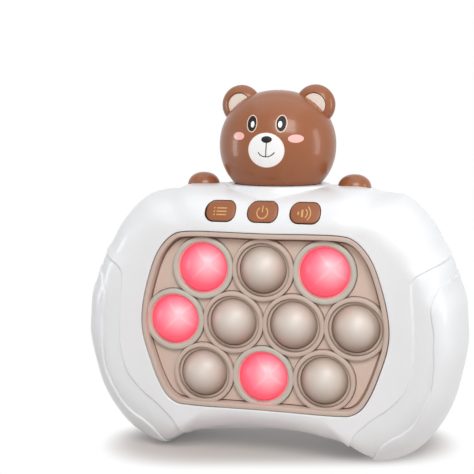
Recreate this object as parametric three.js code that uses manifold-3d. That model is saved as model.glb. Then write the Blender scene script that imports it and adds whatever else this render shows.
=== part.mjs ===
// Handheld electronic bubble pop game: a rounded white casing with side grips, a bear's head and paws on top,
// and a beige tray of push-in bubbles. Millimetres, +Z up; the player faces the front, which looks along -Y.
import * as THREE from "three";
import { mergeVertices } from "three/addons/utils/BufferGeometryUtils.js";
import Module from "manifold-3d";

const wasm = await Module();
wasm.setup();

// Fits and general sizes
const seatGap = 0.3; // between pieces that rest on each other
const wall = 2.4; // moulded wall of the casing
const overrun = 40; // how far a cutting tool passes its face

// Bubbles
const bubbleRadius = 10.4;
const bubbleRise = 7.1; // apex over the ring's step
const bubbleFit = 0.35; // round the bubble in its hole
const bubbleWall = 1.3;
const bubbleFlangeWidth = 1.8;
const bubbleFlangeWall = 1.2;
const bubbleFlangeSpace = 2.6; // between the flanges of neighbours
const bubbleSkirt = 1; // skirt behind the flange, which presses the mat
const bubbleTravel = 2.8;
const bubbleFlangeRadius = bubbleRadius + bubbleFlangeWidth;
const bubblePitch = 2 * bubbleFlangeRadius + bubbleFlangeSpace;
const rowPitchShare = 0.878; // of the pitch along a row
const rowPitch = bubblePitch * rowPitchShare;
const gridHeight = 62; // floor to the middle row

// Rings round the bubbles, and the window that the tray fills
const ringStep = 1.05; // width of the step inside the ring
const ringWall = 1.95;
const ringInnerRadius = bubbleRadius + bubbleFit + ringStep;
const ringOuterRadius = ringInnerRadius + ringWall;
const windowSideGap = 0.95; // from the outer rings to the window's side
const windowEndGap = 1.594; // the same above and below, on average
const windowLift = 0.9; // the window's middle lies this much over the middle row
const windowHalfWidth = 1.5 * bubblePitch + ringOuterRadius + windowSideGap;
const windowHalfHeight = rowPitch + ringOuterRadius + windowEndGap;
const windowTop = gridHeight + windowLift + windowHalfHeight;
const windowBottom = gridHeight + windowLift - windowHalfHeight;

// Casing. Depths are counted from the parting plane between the two shells
const bodySideMargin = 30.75; // from the window to the side grip's edge
const bodyTopMargin = 18.25; // from the window to the crest that carries the head
const bodyHalfWidth = windowHalfWidth + bodySideMargin;
const bodyTopHeight = windowTop + bodyTopMargin;
const frontDepth = 27.8; // to the face round the tray
const rearDepth = 23;
const gripRise = 2.2; // how much further the front swells at the grips
const gripRiseInset = 1.2; // where that swell begins, in from the window's side
const gripRiseStart = windowHalfWidth - gripRiseInset;
const gripRiseWidth = 22;
const rollWidth = 20; // how far in from the outline the edge rolls over
const frontRollPower = 2.2; // 2 is a round edge, more is squarer
const rearRollPower = 3.2;
const bandRecess = 0.9; // the band between body and grip lies this much lower
const gripWall = 2.6; // the clip-on grip's thickness

// Tray, whose faces lie behind the casing's face
const trayRimRecess = 0.2;
const trayFloorRecess = 4.4;
const ringRecess = 2.4; // front of the ring round each bubble
const ledgeRecess = 3.9; // front of the step inside that ring
const trayRimDepth = frontDepth - trayRimRecess;
const trayFloorDepth = frontDepth - trayFloorRecess;
const ringDepth = frontDepth - ringRecess;
const ledgeDepth = frontDepth - ledgeRecess;
const trayRimWidth = 2.0;
const trayFloorWall = 2.2;
const trayFlangeWidth = 2.6;
const trayFit = 0.35; // between tray and window
const trayPostRadius = 2;
const trayPostSideInset = 13.7; // the posts that hold the board, from the window's side
const trayPostEndInset = 9.55; // and from its top and bottom
const trayPostAcross = windowHalfWidth - trayPostSideInset;
const trayPostUp = windowHalfHeight - trayPostEndInset;
const trayPinRadius = 1.1; // pins that pass through the board
const trayPinReach = 1; // behind it

// Button caps and what is under them
const buttonDrop = 9.4; // the button row under the crest
const buttonHeight = bodyTopHeight - buttonDrop;
const buttonHalfWidth = 6.6;
const buttonHalfHeight = 4.15; // seen from the front
const buttonSpace = 5.5; // between caps
const buttonPitch = 2 * buttonHalfWidth + buttonSpace;
const buttonCorner = 3.7;
const buttonFaceRecess = 3.7; // the casing's face at the row, behind the face round the tray
const buttonFaceDepth = frontDepth - buttonFaceRecess;
const buttonProud = 0.7; // cap over that face
const buttonTilt = 0.5; // radians, the slope of the cap
const buttonFit = 0.3;
const buttonFlange = 1.1;
const buttonFlangeGap = 0.9; // behind the casing's wall
const buttonFlangeDepth = buttonFaceDepth - wall - buttonFlangeGap; // its front
const buttonFlangeWall = 1;
const buttonFlangeTop = 0.8; // below the row's height, where the casing curves in
const buttonStemRadius = 1.5;
const buttonStemLength = 1.5; // behind the flange
const buttonTravel = 0.8;
const switchHalf = 3;
const switchThick = 3.4;
const switchReach = buttonStemLength + buttonTravel + seatGap + switchThick; // from the flange to its back
const keyBoardDepth = buttonFlangeDepth - buttonFlangeWall - switchReach - seatGap; // its front
const keyPostGap = 5.3; // from the outer caps to the post's middle
const keyPostAcross = buttonPitch + buttonHalfWidth + keyPostGap;
const keyPostRadius = 1.9;
const keyBoardEnd = 1.5; // past each post
const keyBoardHalfWidth = keyPostAcross + keyPostRadius + keyBoardEnd;
const keyBoardHalfHeight = 3.4;

// Boards and parts on them
const boardThick = 1.6;
const boardInset = 2.2; // inside the window's outline
const matThick = 0.8;
const matGap = 0.4; // between the mat and a bubble that is pressed right in
const matInset = 4.5;
const matHoleHalf = 3;
const ledHalf = 1.75;
const ledThick = 1.5;
const chipHalfWidth = 7;
const chipHalfHeight = 5;
const chipThick = 1.8;

// Head, ears, paws
const neckRise = 0.7; // the seat under the head, over the crest
const neckHeight = bodyTopHeight + neckRise;
const neckHalfWidth = 15;
const neckHalfDepth = 12;
const neckWall = 2;
const neckDrop = 7;
const neckCollarHalfWidth = 24.2;
const neckCollarHalfDepth = 19.2;
const neckCollarDrop = 7;
const neckCollarFlare = 6.5;
const headSetBack = 3; // behind the parting plane
const headLift = 17.1; // the head's widest level, over its seat
const headHeight = neckHeight + headLift;
const headHalfWidth = 26.3;
const headHalfDepth = 22.6;
const headRise = 24.5;
const headPower = 2.1;
const headWall = 2;
const headFloor = 2;
const earInset = 9.4; // the ear's middle, in from the head's side
const earDrop = 6.7; // and under the head's crown
const earAcross = headHalfWidth - earInset;
const earHeight = headHeight + headRise - earDrop;
const earRadius = 9;
const earHalfDepth = 5.6;
const earSetBack = 1; // behind the head's middle
const earDishRadius = 6.1;
const earDishDepth = 3.4;
const earInnerRecess = 0.9;
const pawHalfWidth = 7.4;
const pawHalfDepth = 7;
const pawRise = 5.8;
const pawSpace = 3.3; // between the paw and the collar's top edge
const pawSink = 0.6; // the paw's widest level, under the crest
const pawSeatDepth = 0.4; // floor of the shallow seat in the casing, under that level
const pawAcross = neckCollarHalfWidth + pawSpace + pawHalfWidth;
const pawHeight = bodyTopHeight - pawSink;
const pawSeatHeight = pawHeight - pawSeatDepth;
const pawPegRadius = 1.6;
const pawPegLength = 4;

// Battery bay, door and speaker
const batteryCount = 3;
const batteryRadius = 5.25;
const batteryLength = 44.5;
const batteryNubRadius = 1.9;
const batteryNubRise = 0.9;
const batteryGap = 0.6;
const bayDrop = 13; // the bay's middle, under the middle row of bubbles
const bayHeight = gridHeight - bayDrop;
const bayWall = 1.6;
const contactThick = 0.5;
const contactRise = 1.2;
const contactNubRadius = 2.4;
const contactShort = 1.2; // how much shorter each plate is than the bay
const tailHalfWidth = 1;
const tailLength = 2; // in front of the bay
const doorThick = 1.8;
const doorLedge = 1.3;
const doorFit = 0.35;
const doorScrewZone = 10; // extra door under the bay for its screw
const doorCupRadius = 3.75;
const doorCupDepth = 4; // behind which the screw's cup ends
const doorCupFloor = 1.5;
const doorCupFit = 0.45;
const tabAcross = 14;
const tabHalfWidth = 3;
const tabWall = 1.3;
const tabReach = 1.9; // over the door's top edge
const tabRoot = 2.6;
const tabFit = 0.6;
const tabRoom = 0.9; // room in front, that it swings through
const doorShankRadius = 1.1;
const doorBoreRadius = 1.7;
const doorShankReach = 3; // into the casing
const doorBossRadius = 3.3;
const doorBossLength = 5;
const speakerRadius = 14;
const speakerThick = 5.2;
const speakerRoom = 2.35; // between the door's tabs and the ring that holds the speaker
const speakerMagnetRadius = 8;
const speakerMagnetThick = 2.2;
const speakerRingWall = 1.6;
const speakerRingLength = 2.4;
const slotCount = 5;
const slotWidth = 1.6;
const slotPitch = 4.2;
const slotHalfLength = 9;
const leadRadius = 0.6;
const leadAcross = 1.6; // each speaker lead from the middle
const leadBow = 2;
const leadChipGap = 12; // from the chip up to where the speaker's leads meet the board
const boardLeadHeight = gridHeight + chipHalfHeight + leadChipGap;

// Case screws, just outside the window's corners
const casePostInset = 0.2; // in from the window's side
const casePostTopInset = 3.05; // down from its top
const casePostBottomInset = 2.5; // under its bottom
const casePostAcross = windowHalfWidth - casePostInset;
const casePostHigh = windowTop - casePostTopInset;
const casePostLow = windowBottom - casePostBottomInset;
const frontPostRadius = 3.4;
const rearPostRadius = 4.2;
const casePostMeet = 2.6; // behind the parting plane
const wellRadius = 2.75;
const wellFloorDepth = 7; // behind the parting plane
const screwHeadRadius = 2.35;
const screwHeadThick = 1.6;
const screwShankRadius = 1.2;
const screwBoreRadius = 1.55;
const pilotRadius = 1.5;
const screwLength = 13;

// Outline of the casing seen from the front, right half, top to bottom, as shares of half-width and top
// height; the third share is of the roll width
const bodyShares = [
  [0, 0.9998, 1],
  [0.285, 1.0018, 1],
  [0.452, 1.0025, 1],
  [0.539, 0.9811, 1],
  [0.675, 0.9637, 1],
  [0.808, 0.8735, 0.95],
  [0.873, 0.7932, 0.9],
  [0.925, 0.7382, 0.85],
  [0.954, 0.6603, 0.75],
  [0.982, 0.602, 0.7],
  [0.995, 0.515, 0.68],
  [1, 0.4368, 0.7],
  [0.976, 0.3278, 0.78],
  [0.936, 0.2198, 0.9],
  [0.872, 0.1307, 1.05],
  [0.782, 0.0516, 1.2],
  [0.669, 0.0025, 1.25],
  [0.601, -0.0075, 1.2],
  [0.546, 0.0017, 1.15],
  [0.425, 0.0478, 1.05],
  [0.313, 0.065, 0.95],
  [0.204, 0.0789, 0.85],
  [0, 0.0864, 0.75],
];

// The two lines down each side of the casing, from shoulder to bottom, as shares of half-width and top height
const bodyLineShares = [
  [1.089, 0.7726],
  [0.901, 0.7481],
  [0.82, 0.7381],
  [0.752, 0.7032],
  [0.747, 0.6426],
  [0.754, 0.5834],
  [0.761, 0.4823],
  [0.758, 0.4071],
  [0.742, 0.3486],
  [0.717, 0.3023],
  [0.679, 0.2665],
  [0.632, 0.2328],
  [0.579, 0.205],
  [0.531, 0.1745],
  [0.486, 0.1417],
  [0.453, 0.1015],
  [0.429, 0.0513],
  [0.406, -0.0035],
  [0.393, -0.0933],
];
const gripLineShares = [
  [1.086, 0.6552],
  [0.936, 0.6875],
  [0.885, 0.6801],
  [0.854, 0.6445],
  [0.838, 0.6134],
  [0.843, 0.5696],
  [0.854, 0.5195],
  [0.854, 0.4658],
  [0.857, 0.4159],
  [0.854, 0.362],
  [0.846, 0.3157],
  [0.819, 0.2693],
  [0.79, 0.2234],
  [0.757, 0.1813],
  [0.706, 0.1469],
  [0.648, 0.1197],
  [0.599, 0.0859],
  [0.565, 0.042],
  [0.532, -0.005],
  [0.516, -0.0918],
];

// Outline of the tray's window, right half, as shares of its half-width and half-height
const windowShares = [
  [0, 1],
  [0.62, 1],
  [0.7, 0.975],
  [0.775, 0.9],
  [0.86, 0.74],
  [0.935, 0.46],
  [0.985, 0.17],
  [1, -0.05],
  [0.985, -0.24],
  [0.94, -0.46],
  [0.865, -0.74],
  [0.79, -0.91],
  [0.71, -0.985],
  [0.62, -1],
  [0, -1],
];

const rowPlaces = [
  [1, -1],
  [1, 0],
  [1, 1],
  [0, -1.5],
  [0, -0.5],
  [0, 0.5],
  [0, 1.5],
  [-1, -1],
  [-1, 0],
  [-1, 1],
];
const litBubbles = [1, 3, 4, 9]; // the ones that glow
const windowSteps = 36;
const rollSteps = 4;
const bubbleSides = 14;
const domeSteps = 3;
const domeInnerSteps = 2;
const ringSides = 16;
const smallSides = 8;
const headSteps = 10;
const headSides = 24;
const ballSides = 14;
const ballRows = 8;
const smallBallSides = 16;
const smallBallRows = 8;
const cornerSteps = 3;
const leadSides = 6;
const leadSteps = 6;
const nubSides = [1, -1, 1]; // the end that each battery's nub points to, top to bottom

// Leaves out the faces that closed up at a pole
function realFaces(corners) {
  const kept = [];
  for (let i = 0; i < corners.length; i += 3) {
    const [a, b, c] = corners.slice(i, i + 3);
    if (a !== b && b !== c && c !== a) kept.push(a, b, c);
  }
  return kept;
}

// A closed geometry as a manifold solid, facing out
function solid(geometry) {
  const bare = geometry.clone();
  bare.deleteAttribute("normal");
  bare.deleteAttribute("uv");
  const merged = mergeVertices(bare, 1e-4);
  const corners = new Uint32Array(realFaces([...merged.index.array]));
  const make = () =>
    new wasm.Manifold(
      new wasm.Mesh({
        numProp: 3,
        vertProperties: merged.attributes.position.array,
        triVerts: corners,
      }),
    );
  const made = make();
  if (made.volume() >= 0) return made;
  for (let i = 0; i < corners.length; i += 3) {
    [corners[i + 1], corners[i + 2]] = [corners[i + 2], corners[i + 1]];
  }
  return make();
}

function geometryOf(made) {
  const mesh = made.getMesh();
  return new THREE.BufferGeometry()
    .setAttribute("position", new THREE.BufferAttribute(mesh.vertProperties, 3))
    .setIndex(new THREE.BufferAttribute(mesh.triVerts, 1));
}

const moved = (made, x, y, z) => made.translate([x, y, z]);
const joined = (solids) => solids.reduce((a, b) => a.add(b));
const without = (made, cuts) => cuts.reduce((a, b) => a.subtract(b), made);
const bothSides = (made) => made.add(made.mirror([1, 0, 0]));

// A box from its corners' places
function block(x0, x1, y0, y1, z0, z1) {
  const box = new THREE.BoxGeometry(x1 - x0, y1 - y0, z1 - z0);
  return moved(solid(box), (x0 + x1) / 2, (y0 + y1) / 2, (z0 + z1) / 2);
}

// A rod along Y from y0 to y1
function rod(radius, y0, y1, sides = smallSides) {
  return moved(solid(new THREE.CylinderGeometry(radius, radius, y1 - y0, sides)), 0, (y0 + y1) / 2, 0);
}

// A turned piece about the Y axis, from pairs of radius and depth
function turned(pairs, sides) {
  const profile = pairs.map(([r, y]) => new THREE.Vector2(r, y));
  return solid(new THREE.LatheGeometry(profile, sides));
}

// A slab along Y whose outline is a loop of front-view points
function slab(loop, y0, y1) {
  const shape = new THREE.Shape(loop.map((p) => new THREE.Vector2(p.x, p.y)));
  const made = new THREE.ExtrudeGeometry(shape, { depth: y1 - y0, bevelEnabled: false });
  return solid(made.rotateX(Math.PI / 2).translate(0, y1, 0));
}

// A right half of points and its mirror image, as one loop
function mirrored(half) {
  const left = half.slice(1, -1).reverse();
  return [...half, ...left.map((p) => new THREE.Vector3(-p.x, p.y, p.z))];
}

// Evenly spaced points on a smooth closed curve through a loop
function smoothLoop(loop, steps) {
  return new THREE.CatmullRomCurve3(loop, true, "centripetal").getSpacedPoints(steps).slice(0, steps);
}

// The outward direction at each point of a loop that runs clockwise
function outward(loop) {
  return loop.map((p, i) => {
    const next = loop[(i + 1) % loop.length];
    const last = loop[(i + loop.length - 1) % loop.length];
    return new THREE.Vector2(last.y - next.y, next.x - last.x).normalize();
  });
}

function grown(loop, distance) {
  const out = outward(loop);
  return loop.map((p, i) => new THREE.Vector3(p.x + out[i].x * distance, p.y + out[i].y * distance, 0));
}

// Joins rings of equal count into a closed skin, with a fan to a point at each end
function skin(rings, firstPoint, lastPoint) {
  const count = rings[0].length;
  const points = [...rings.flat(), firstPoint, lastPoint];
  const faces = [];
  for (let r = 0; r + 1 < rings.length; r++) {
    for (let i = 0; i < count; i++) {
      const a = r * count + i;
      const b = r * count + ((i + 1) % count);
      faces.push(a, b, a + count, b, b + count, a + count);
    }
  }
  const last = (rings.length - 1) * count;
  for (let i = 0; i < count; i++) {
    const next = (i + 1) % count;
    faces.push(next, i, points.length - 2);
    faces.push(last + i, last + next, points.length - 1);
  }
  return solid(new THREE.BufferGeometry().setFromPoints(points).setIndex(faces));
}

// Casing surfaces
const bodyLoop = mirrored(
  bodyShares.map(([x, z, roll]) => new THREE.Vector3(x * bodyHalfWidth, z * bodyTopHeight, roll * rollWidth)),
);
const bodyOut = outward(bodyLoop);
const windowLoop = smoothLoop(
  mirrored(
    windowShares.map(
      ([x, z]) => new THREE.Vector3(x * windowHalfWidth, z * windowHalfHeight + gridHeight + windowLift, 0),
    ),
  ),
  windowSteps,
);

function swell(x, side) {
  const t = THREE.MathUtils.smoothstep(Math.abs(x), gripRiseStart, gripRiseStart + gripRiseWidth);
  return side < 0 ? t * gripRise : 0;
}

// Half of the rounded casing on one side of the parting plane (-1 front, 1 rear), grown by standOff
function casingHalf(side, standOff) {
  const depth = side < 0 ? frontDepth : rearDepth;
  const power = side < 0 ? frontRollPower : rearRollPower;
  const centre = new THREE.Vector2(0, gridHeight);
  const ringAt = (turn, shrink) => {
    const rim = Math.cos(turn) ** (2 / power);
    const reach = Math.sin(turn) ** (2 / power);
    return bodyLoop.map((p, i) => {
      const arm = new THREE.Vector2(p.x, p.y).sub(centre);
      const scale = (1 - (p.z * (1 - rim)) / arm.length()) * shrink;
      const x = arm.x * scale + bodyOut[i].x * standOff * rim;
      const z = centre.y + arm.y * scale + bodyOut[i].y * standOff * rim;
      return new THREE.Vector3(x, side * (depth + swell(x, side) + standOff) * reach, z);
    });
  };
  const rings = [];
  for (let k = 0; k <= rollSteps; k++) rings.push(ringAt(Math.min((k * Math.PI) / 2 / rollSteps, Math.PI / 2), 1));
  rings[rollSteps] = ringAt(Math.PI / 2 - 1e-9, 1);
  rings.push(ringAt(Math.PI / 2 - 1e-9, 0.88));
  const middle = new THREE.Vector3(0, side * (depth + standOff), gridHeight);
  return skin(rings, new THREE.Vector3(0, 0, gridHeight), middle);
}

// The front-view region inside one of the side lines, moved out by shift
function insideLine(shares, shift) {
  const line = shares.map(([x, z]) => new THREE.Vector3(x * bodyHalfWidth + shift, z * bodyTopHeight, 0));
  const right = new THREE.CatmullRomCurve3(line, false, "centripetal").getPoints(line.length - 1);
  const top = bodyTopHeight + overrun;
  const corner = new THREE.Vector3(right[0].x, top, 0);
  const half = [corner, ...right];
  const left = half.map((p) => new THREE.Vector3(-p.x, p.y, 0)).reverse();
  return slab([...half, ...left], -frontDepth - overrun, rearDepth + overrun);
}

const insideBody = insideLine(bodyLineShares, 0);
const insideBodyWall = insideLine(bodyLineShares, -wall);
const insideBand = insideLine(gripLineShares, 0);
const insideGrip = insideLine(gripLineShares, seatGap);

// The shell's outer form on one side: body, lower band, and the still lower seat of the grips
function shellOuter(side) {
  const body = casingHalf(side, 0).intersect(insideBody);
  const band = casingHalf(side, -bandRecess).intersect(insideBand);
  const seat = casingHalf(side, -gripWall - seatGap);
  return joined([seat, band, body]);
}

function shellHollow(side) {
  const body = casingHalf(side, -wall).intersect(insideBodyWall);
  return casingHalf(side, -gripWall - seatGap - wall).add(body);
}

// Head form, grown by standOff: an egg about the vertical axis, squarer than an ellipsoid
function headForm(standOff) {
  const profile = [];
  for (let k = 0; k <= headSteps; k++) {
    const turn = (k / headSteps - 0.5) * Math.PI;
    const share = (value) => Math.sign(value) * Math.abs(value) ** (2 / headPower);
    const r = k === 0 || k === headSteps ? 0 : share(Math.cos(turn));
    profile.push(new THREE.Vector2(r, share(Math.sin(turn))));
  }
  const egg = new THREE.LatheGeometry(profile, headSides).rotateX(Math.PI / 2);
  egg.scale(headHalfWidth + standOff, headHalfDepth + standOff, headRise + standOff);
  return solid(egg.translate(0, headSetBack, headHeight));
}

// An oval tube or cone along Z about the head's axis, with half-widths at its top and its flare downwards
function ovalPost(halfWidth, halfDepth, z0, z1, flare) {
  const made = new THREE.CylinderGeometry(1, 1 + flare / halfDepth, z1 - z0, headSides).rotateX(Math.PI / 2);
  made.scale(halfWidth, halfDepth, 1);
  return solid(made.translate(0, headSetBack, (z0 + z1) / 2));
}

// A ball with a half-size along each axis
const ball = (rx, ry, rz, sides, rows) =>
  solid(new THREE.SphereGeometry(1, sides, rows).rotateX(Math.PI / 2).scale(rx, ry, rz));

// A bar along X from x0 to x1
const bar = (radius, x0, x1) => rod(radius, x0, x1).rotate([0, 0, -90]);

// Places used by more than one piece
const farDepth = frontDepth + overrun;
const trayBack = trayFloorWall - trayFloorDepth;
const bubbleFlangeFront = trayBack + seatGap;
const bubbleFlangeBack = bubbleFlangeFront + bubbleFlangeWall;
const matFront = bubbleFlangeBack + bubbleSkirt + bubbleTravel + matGap;
const ledBack = matFront + matThick;
const boardFront = ledBack + seatGap;
const boardBack = boardFront + boardThick;
const switchBack = -keyBoardDepth - seatGap;
const bayHalfLength = batteryLength / 2 + batteryNubRise + contactRise + contactThick + 2 * seatGap;
const bayHalfHeight = (batteryCount * (2 * batteryRadius + batteryGap) + batteryGap) / 2;
const bayTop = bayHeight + bayHalfHeight;
const bayBottom = bayHeight - bayHalfHeight;
const doorInner = rearDepth - doorThick;
const doorSeat = doorInner - seatGap;
const batteryDepth = doorInner - batteryGap - batteryRadius;
const bayFloor = batteryDepth - batteryRadius - batteryGap;
const doorTop = bayTop + doorLedge;
const doorBottom = bayBottom - doorScrewZone;
const doorHalfWidth = bayHalfLength + doorLedge;
const doorScrewHeight = doorBottom + doorScrewZone / 2;
const cupFront = rearDepth - doorCupDepth;
const tabBack = rearDepth - wall - seatGap;
const tabFront = tabBack - tabWall;
const speakerBack = rearDepth - wall - seatGap;
const speakerFront = speakerBack - speakerThick - speakerMagnetThick;
const speakerLow = doorTop + tabReach + tabFit + speakerRoom + speakerRingWall + seatGap;
const speakerHeight = speakerLow + speakerRadius;
const contactFar = bayHalfLength - seatGap;
const tailEnd = bayFloor - bayWall - tailLength;
const screwSeat = wellFloorDepth + seatGap;
const casePlaces = [
  [-casePostAcross, casePostHigh],
  [casePostAcross, casePostHigh],
  [-casePostAcross, casePostLow],
  [casePostAcross, casePostLow],
];
const keyAcross = [-buttonPitch, 0, buttonPitch];
const bubblePlaces = rowPlaces.map(([row, column]) => [column * bubblePitch, gridHeight + row * rowPitch]);
const trayPostPlaces = [
  [-trayPostAcross, gridHeight - trayPostUp],
  [trayPostAcross, gridHeight - trayPostUp],
  [-trayPostAcross, gridHeight + trayPostUp],
  [trayPostAcross, gridHeight + trayPostUp],
];
const batteryPlaces = [1, 0, -1].map((row) => bayHeight + row * (2 * batteryRadius + batteryGap));

const atPlaces = (made, places) => joined(places.map(([x, z]) => moved(made, x, 0, z)));

// All of space between two depths, and above a height
const between = (y0, y1) => block(-farDepth - farDepth, farDepth + farDepth, y0, y1, -overrun, headHeight + overrun);
const above = (z) => block(-bodyHalfWidth, bodyHalfWidth, -farDepth, farDepth, z, headHeight + overrun);
const frontSpace = between(-farDepth, -seatGap / 2);
const rearSpace = between(seatGap / 2, farDepth);

// Shared cuts and additions at the casing's top
const neckCollar = ovalPost(
  neckCollarHalfWidth,
  neckCollarHalfDepth,
  neckHeight - neckCollarDrop,
  neckHeight,
  neckCollarFlare,
).intersect(between(-farDepth, rearDepth));
const neckHole = ovalPost(
  neckHalfWidth + seatGap,
  neckHalfDepth + seatGap,
  neckHeight - overrun,
  neckHeight + overrun,
  0,
);

function pawForm(extra, seat) {
  const form = ball(pawHalfWidth + extra, pawHalfDepth + extra, pawRise + extra, smallBallSides, smallBallRows);
  return moved(form, 0, headSetBack, pawHeight).intersect(above(seat));
}

function pawPeg(extra) {
  const peg = new THREE.CylinderGeometry(pawPegRadius + extra, pawPegRadius + extra, pawPegLength, smallSides);
  return solid(peg.rotateX(Math.PI / 2).translate(0, headSetBack, pawHeight + extra - pawPegLength / 2));
}

const pawSeats = bothSides(moved(pawForm(seatGap, pawSeatHeight).add(pawPeg(seatGap)), pawAcross, 0, 0));

// A button's outline as a slab, grown by extra
function keySlab(extra, y0, y1) {
  const radius = buttonCorner + extra;
  const w = buttonHalfWidth - buttonCorner;
  const h = buttonHalfHeight - buttonCorner;
  const shape = new THREE.Shape();
  shape.absarc(w, h, radius, 0, Math.PI / 2);
  shape.absarc(-w, h, radius, Math.PI / 2, Math.PI);
  shape.absarc(-w, -h, radius, Math.PI, 1.5 * Math.PI);
  shape.absarc(w, -h, radius, 1.5 * Math.PI, 2 * Math.PI);
  const loop = shape.getPoints(cornerSteps).slice(0, -1);
  return moved(slab(loop, y0, y1), 0, 0, buttonHeight);
}

// Shells
function frontShell() {
  const form = shellOuter(-1).add(neckCollar).intersect(frontSpace);
  const reach = form.add(between(-seatGap, casePostMeet));
  const casePosts = atPlaces(rod(frontPostRadius, -farDepth, casePostMeet - seatGap), casePlaces).intersect(reach);
  const keyPost = moved(rod(keyPostRadius, -farDepth, switchBack), keyPostAcross, 0, buttonHeight);
  const keyHole = keySlab(buttonFit, -farDepth, -keyBoardDepth);
  const pilot = rod(pilotRadius, screwSeat - screwLength - seatGap, rearDepth);
  return without(joined([form.subtract(shellHollow(-1)), casePosts, bothSides(keyPost).intersect(form)]), [
    slab(windowLoop, -farDepth, trayBack),
    atPlaces(keyHole, keyAcross.map((x) => [x, 0])),
    atPlaces(pilot, casePlaces),
    neckHole,
    pawSeats,
  ]);
}

// The battery bay's box, its door's frame and screw boss, before they are hollowed
function bayBody() {
  const frameHalf = doorHalfWidth + doorFit + bayWall;
  const low = doorBottom - doorFit - bayWall;
  const high = doorTop + doorFit + bayWall;
  const boxHalf = bayHalfLength + bayWall;
  const pocket = rod(doorCupRadius + doorCupFit + bayWall, cupFront - seatGap - bayWall, doorSeat);
  const boss = rod(doorBossRadius, cupFront - seatGap - doorBossLength, doorSeat);
  return joined([
    block(-boxHalf, boxHalf, bayFloor - bayWall, doorInner, bayBottom - bayWall, bayTop + bayWall),
    block(-frameHalf, frameHalf, doorSeat - bayWall, doorInner, low, high),
    moved(pocket.add(boss), 0, 0, doorScrewHeight),
  ]);
}

// Everything that the batteries, the door, its tabs and its screw need cut out of the rear shell
function bayCuts() {
  const doorHalf = doorHalfWidth + doorFit;
  const pocket = rod(doorCupRadius + doorCupFit, cupFront - seatGap, rearDepth);
  const bore = rod(doorBoreRadius, cupFront - doorBossLength - bayWall, rearDepth);
  const tabSide = tabHalfWidth + tabFit;
  const low = block(-tabSide, tabSide, tabFront - tabRoom, doorInner, doorTop - tabRoot - tabFit, doorTop + doorFit);
  const tabEnd = doorTop + tabReach + tabFit;
  const high = block(-tabSide, tabSide, tabFront - tabRoom, rearDepth - wall, doorTop, tabEnd);
  const tailRoom = block(
    contactFar - contactThick - seatGap,
    contactFar + seatGap,
    tailEnd,
    bayFloor + bayWall,
    bayHeight - tailHalfWidth - seatGap,
    bayHeight + tailHalfWidth + seatGap,
  );
  return [
    block(-bayHalfLength, bayHalfLength, bayFloor, farDepth, bayBottom, bayTop),
    block(-doorHalf, doorHalf, doorSeat, farDepth, doorBottom - doorFit, doorTop + doorFit),
    moved(pocket.add(bore), 0, 0, doorScrewHeight),
    bothSides(moved(low.add(high), tabAcross, 0, 0)),
    bothSides(tailRoom),
  ];
}

function speakerSlots() {
  const slot = block(-slotHalfLength, slotHalfLength, speakerBack, farDepth, -slotWidth / 2, slotWidth / 2);
  const middle = (slotCount - 1) / 2;
  return joined([...Array(slotCount).keys()].map((i) => moved(slot, 0, 0, speakerHeight + (i - middle) * slotPitch)));
}

function rearShell() {
  const form = shellOuter(1).add(neckCollar).intersect(rearSpace);
  const reach = form.intersect(between(casePostMeet, farDepth));
  const casePosts = atPlaces(rod(rearPostRadius, casePostMeet, farDepth), casePlaces).intersect(reach);
  const ringRadius = speakerRadius + seatGap;
  const ring = rod(ringRadius + speakerRingWall, speakerBack - speakerRingLength, rearDepth - wall / 2, ringSides);
  const ringRoom = rod(ringRadius, -rearDepth, rearDepth - wall, ringSides);
  const seat = moved(ring.subtract(ringRoom), 0, 0, speakerHeight);
  return without(joined([form.subtract(shellHollow(1)), casePosts, bayBody().intersect(form), seat]), [
    ...bayCuts(),
    speakerSlots(),
    atPlaces(rod(wellRadius, wellFloorDepth, farDepth), casePlaces),
    atPlaces(rod(screwBoreRadius, -rearDepth, farDepth), casePlaces),
    neckHole,
    pawSeats,
  ]);
}

// Both clip-on grips: the casing's own form outside the grip line, hollowed to wrap over the shells' edge
function rightGrip() {
  const outside = casingHalf(-1, 0).add(casingHalf(1, 0));
  const inside = casingHalf(-1, -gripWall).add(casingHalf(1, -gripWall));
  const right = block(0, farDepth + farDepth, -farDepth, farDepth, 0, bodyTopHeight);
  return without(outside, [insideGrip, inside]).intersect(right);
}

// Tray that carries the bubbles
function bubblePanel() {
  const outer = grown(windowLoop, -trayFit);
  const rim = slab(outer, -trayRimDepth, trayBack).subtract(
    slab(grown(windowLoop, -trayFit - trayRimWidth), -farDepth, -trayFloorDepth),
  );
  const flange = slab(grown(windowLoop, trayFlangeWidth), wall + seatGap - frontDepth, trayBack).subtract(
    slab(outer, -farDepth, -trayFloorDepth),
  );
  const collar = rod(ringOuterRadius, -ringDepth, trayBack, ringSides);
  const post = rod(trayPostRadius, -trayFloorDepth, ledBack).add(
    rod(trayPinRadius, -trayFloorDepth, boardBack + trayPinReach),
  );
  const step = rod(ringInnerRadius, -farDepth, -ledgeDepth, ringSides);
  const hole = rod(bubbleRadius + bubbleFit, -farDepth, 0, ringSides);
  const solidTray = joined([
    rim,
    flange.intersect(casingHalf(-1, -wall - seatGap)).intersect(insideLine(bodyLineShares, -wall - seatGap)),
    atPlaces(collar, bubblePlaces).intersect(slab(outer, -trayRimDepth, trayBack)),
    atPlaces(post, trayPostPlaces),
  ]);
  return solidTray.subtract(atPlaces(step.add(hole), bubblePlaces));
}

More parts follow.
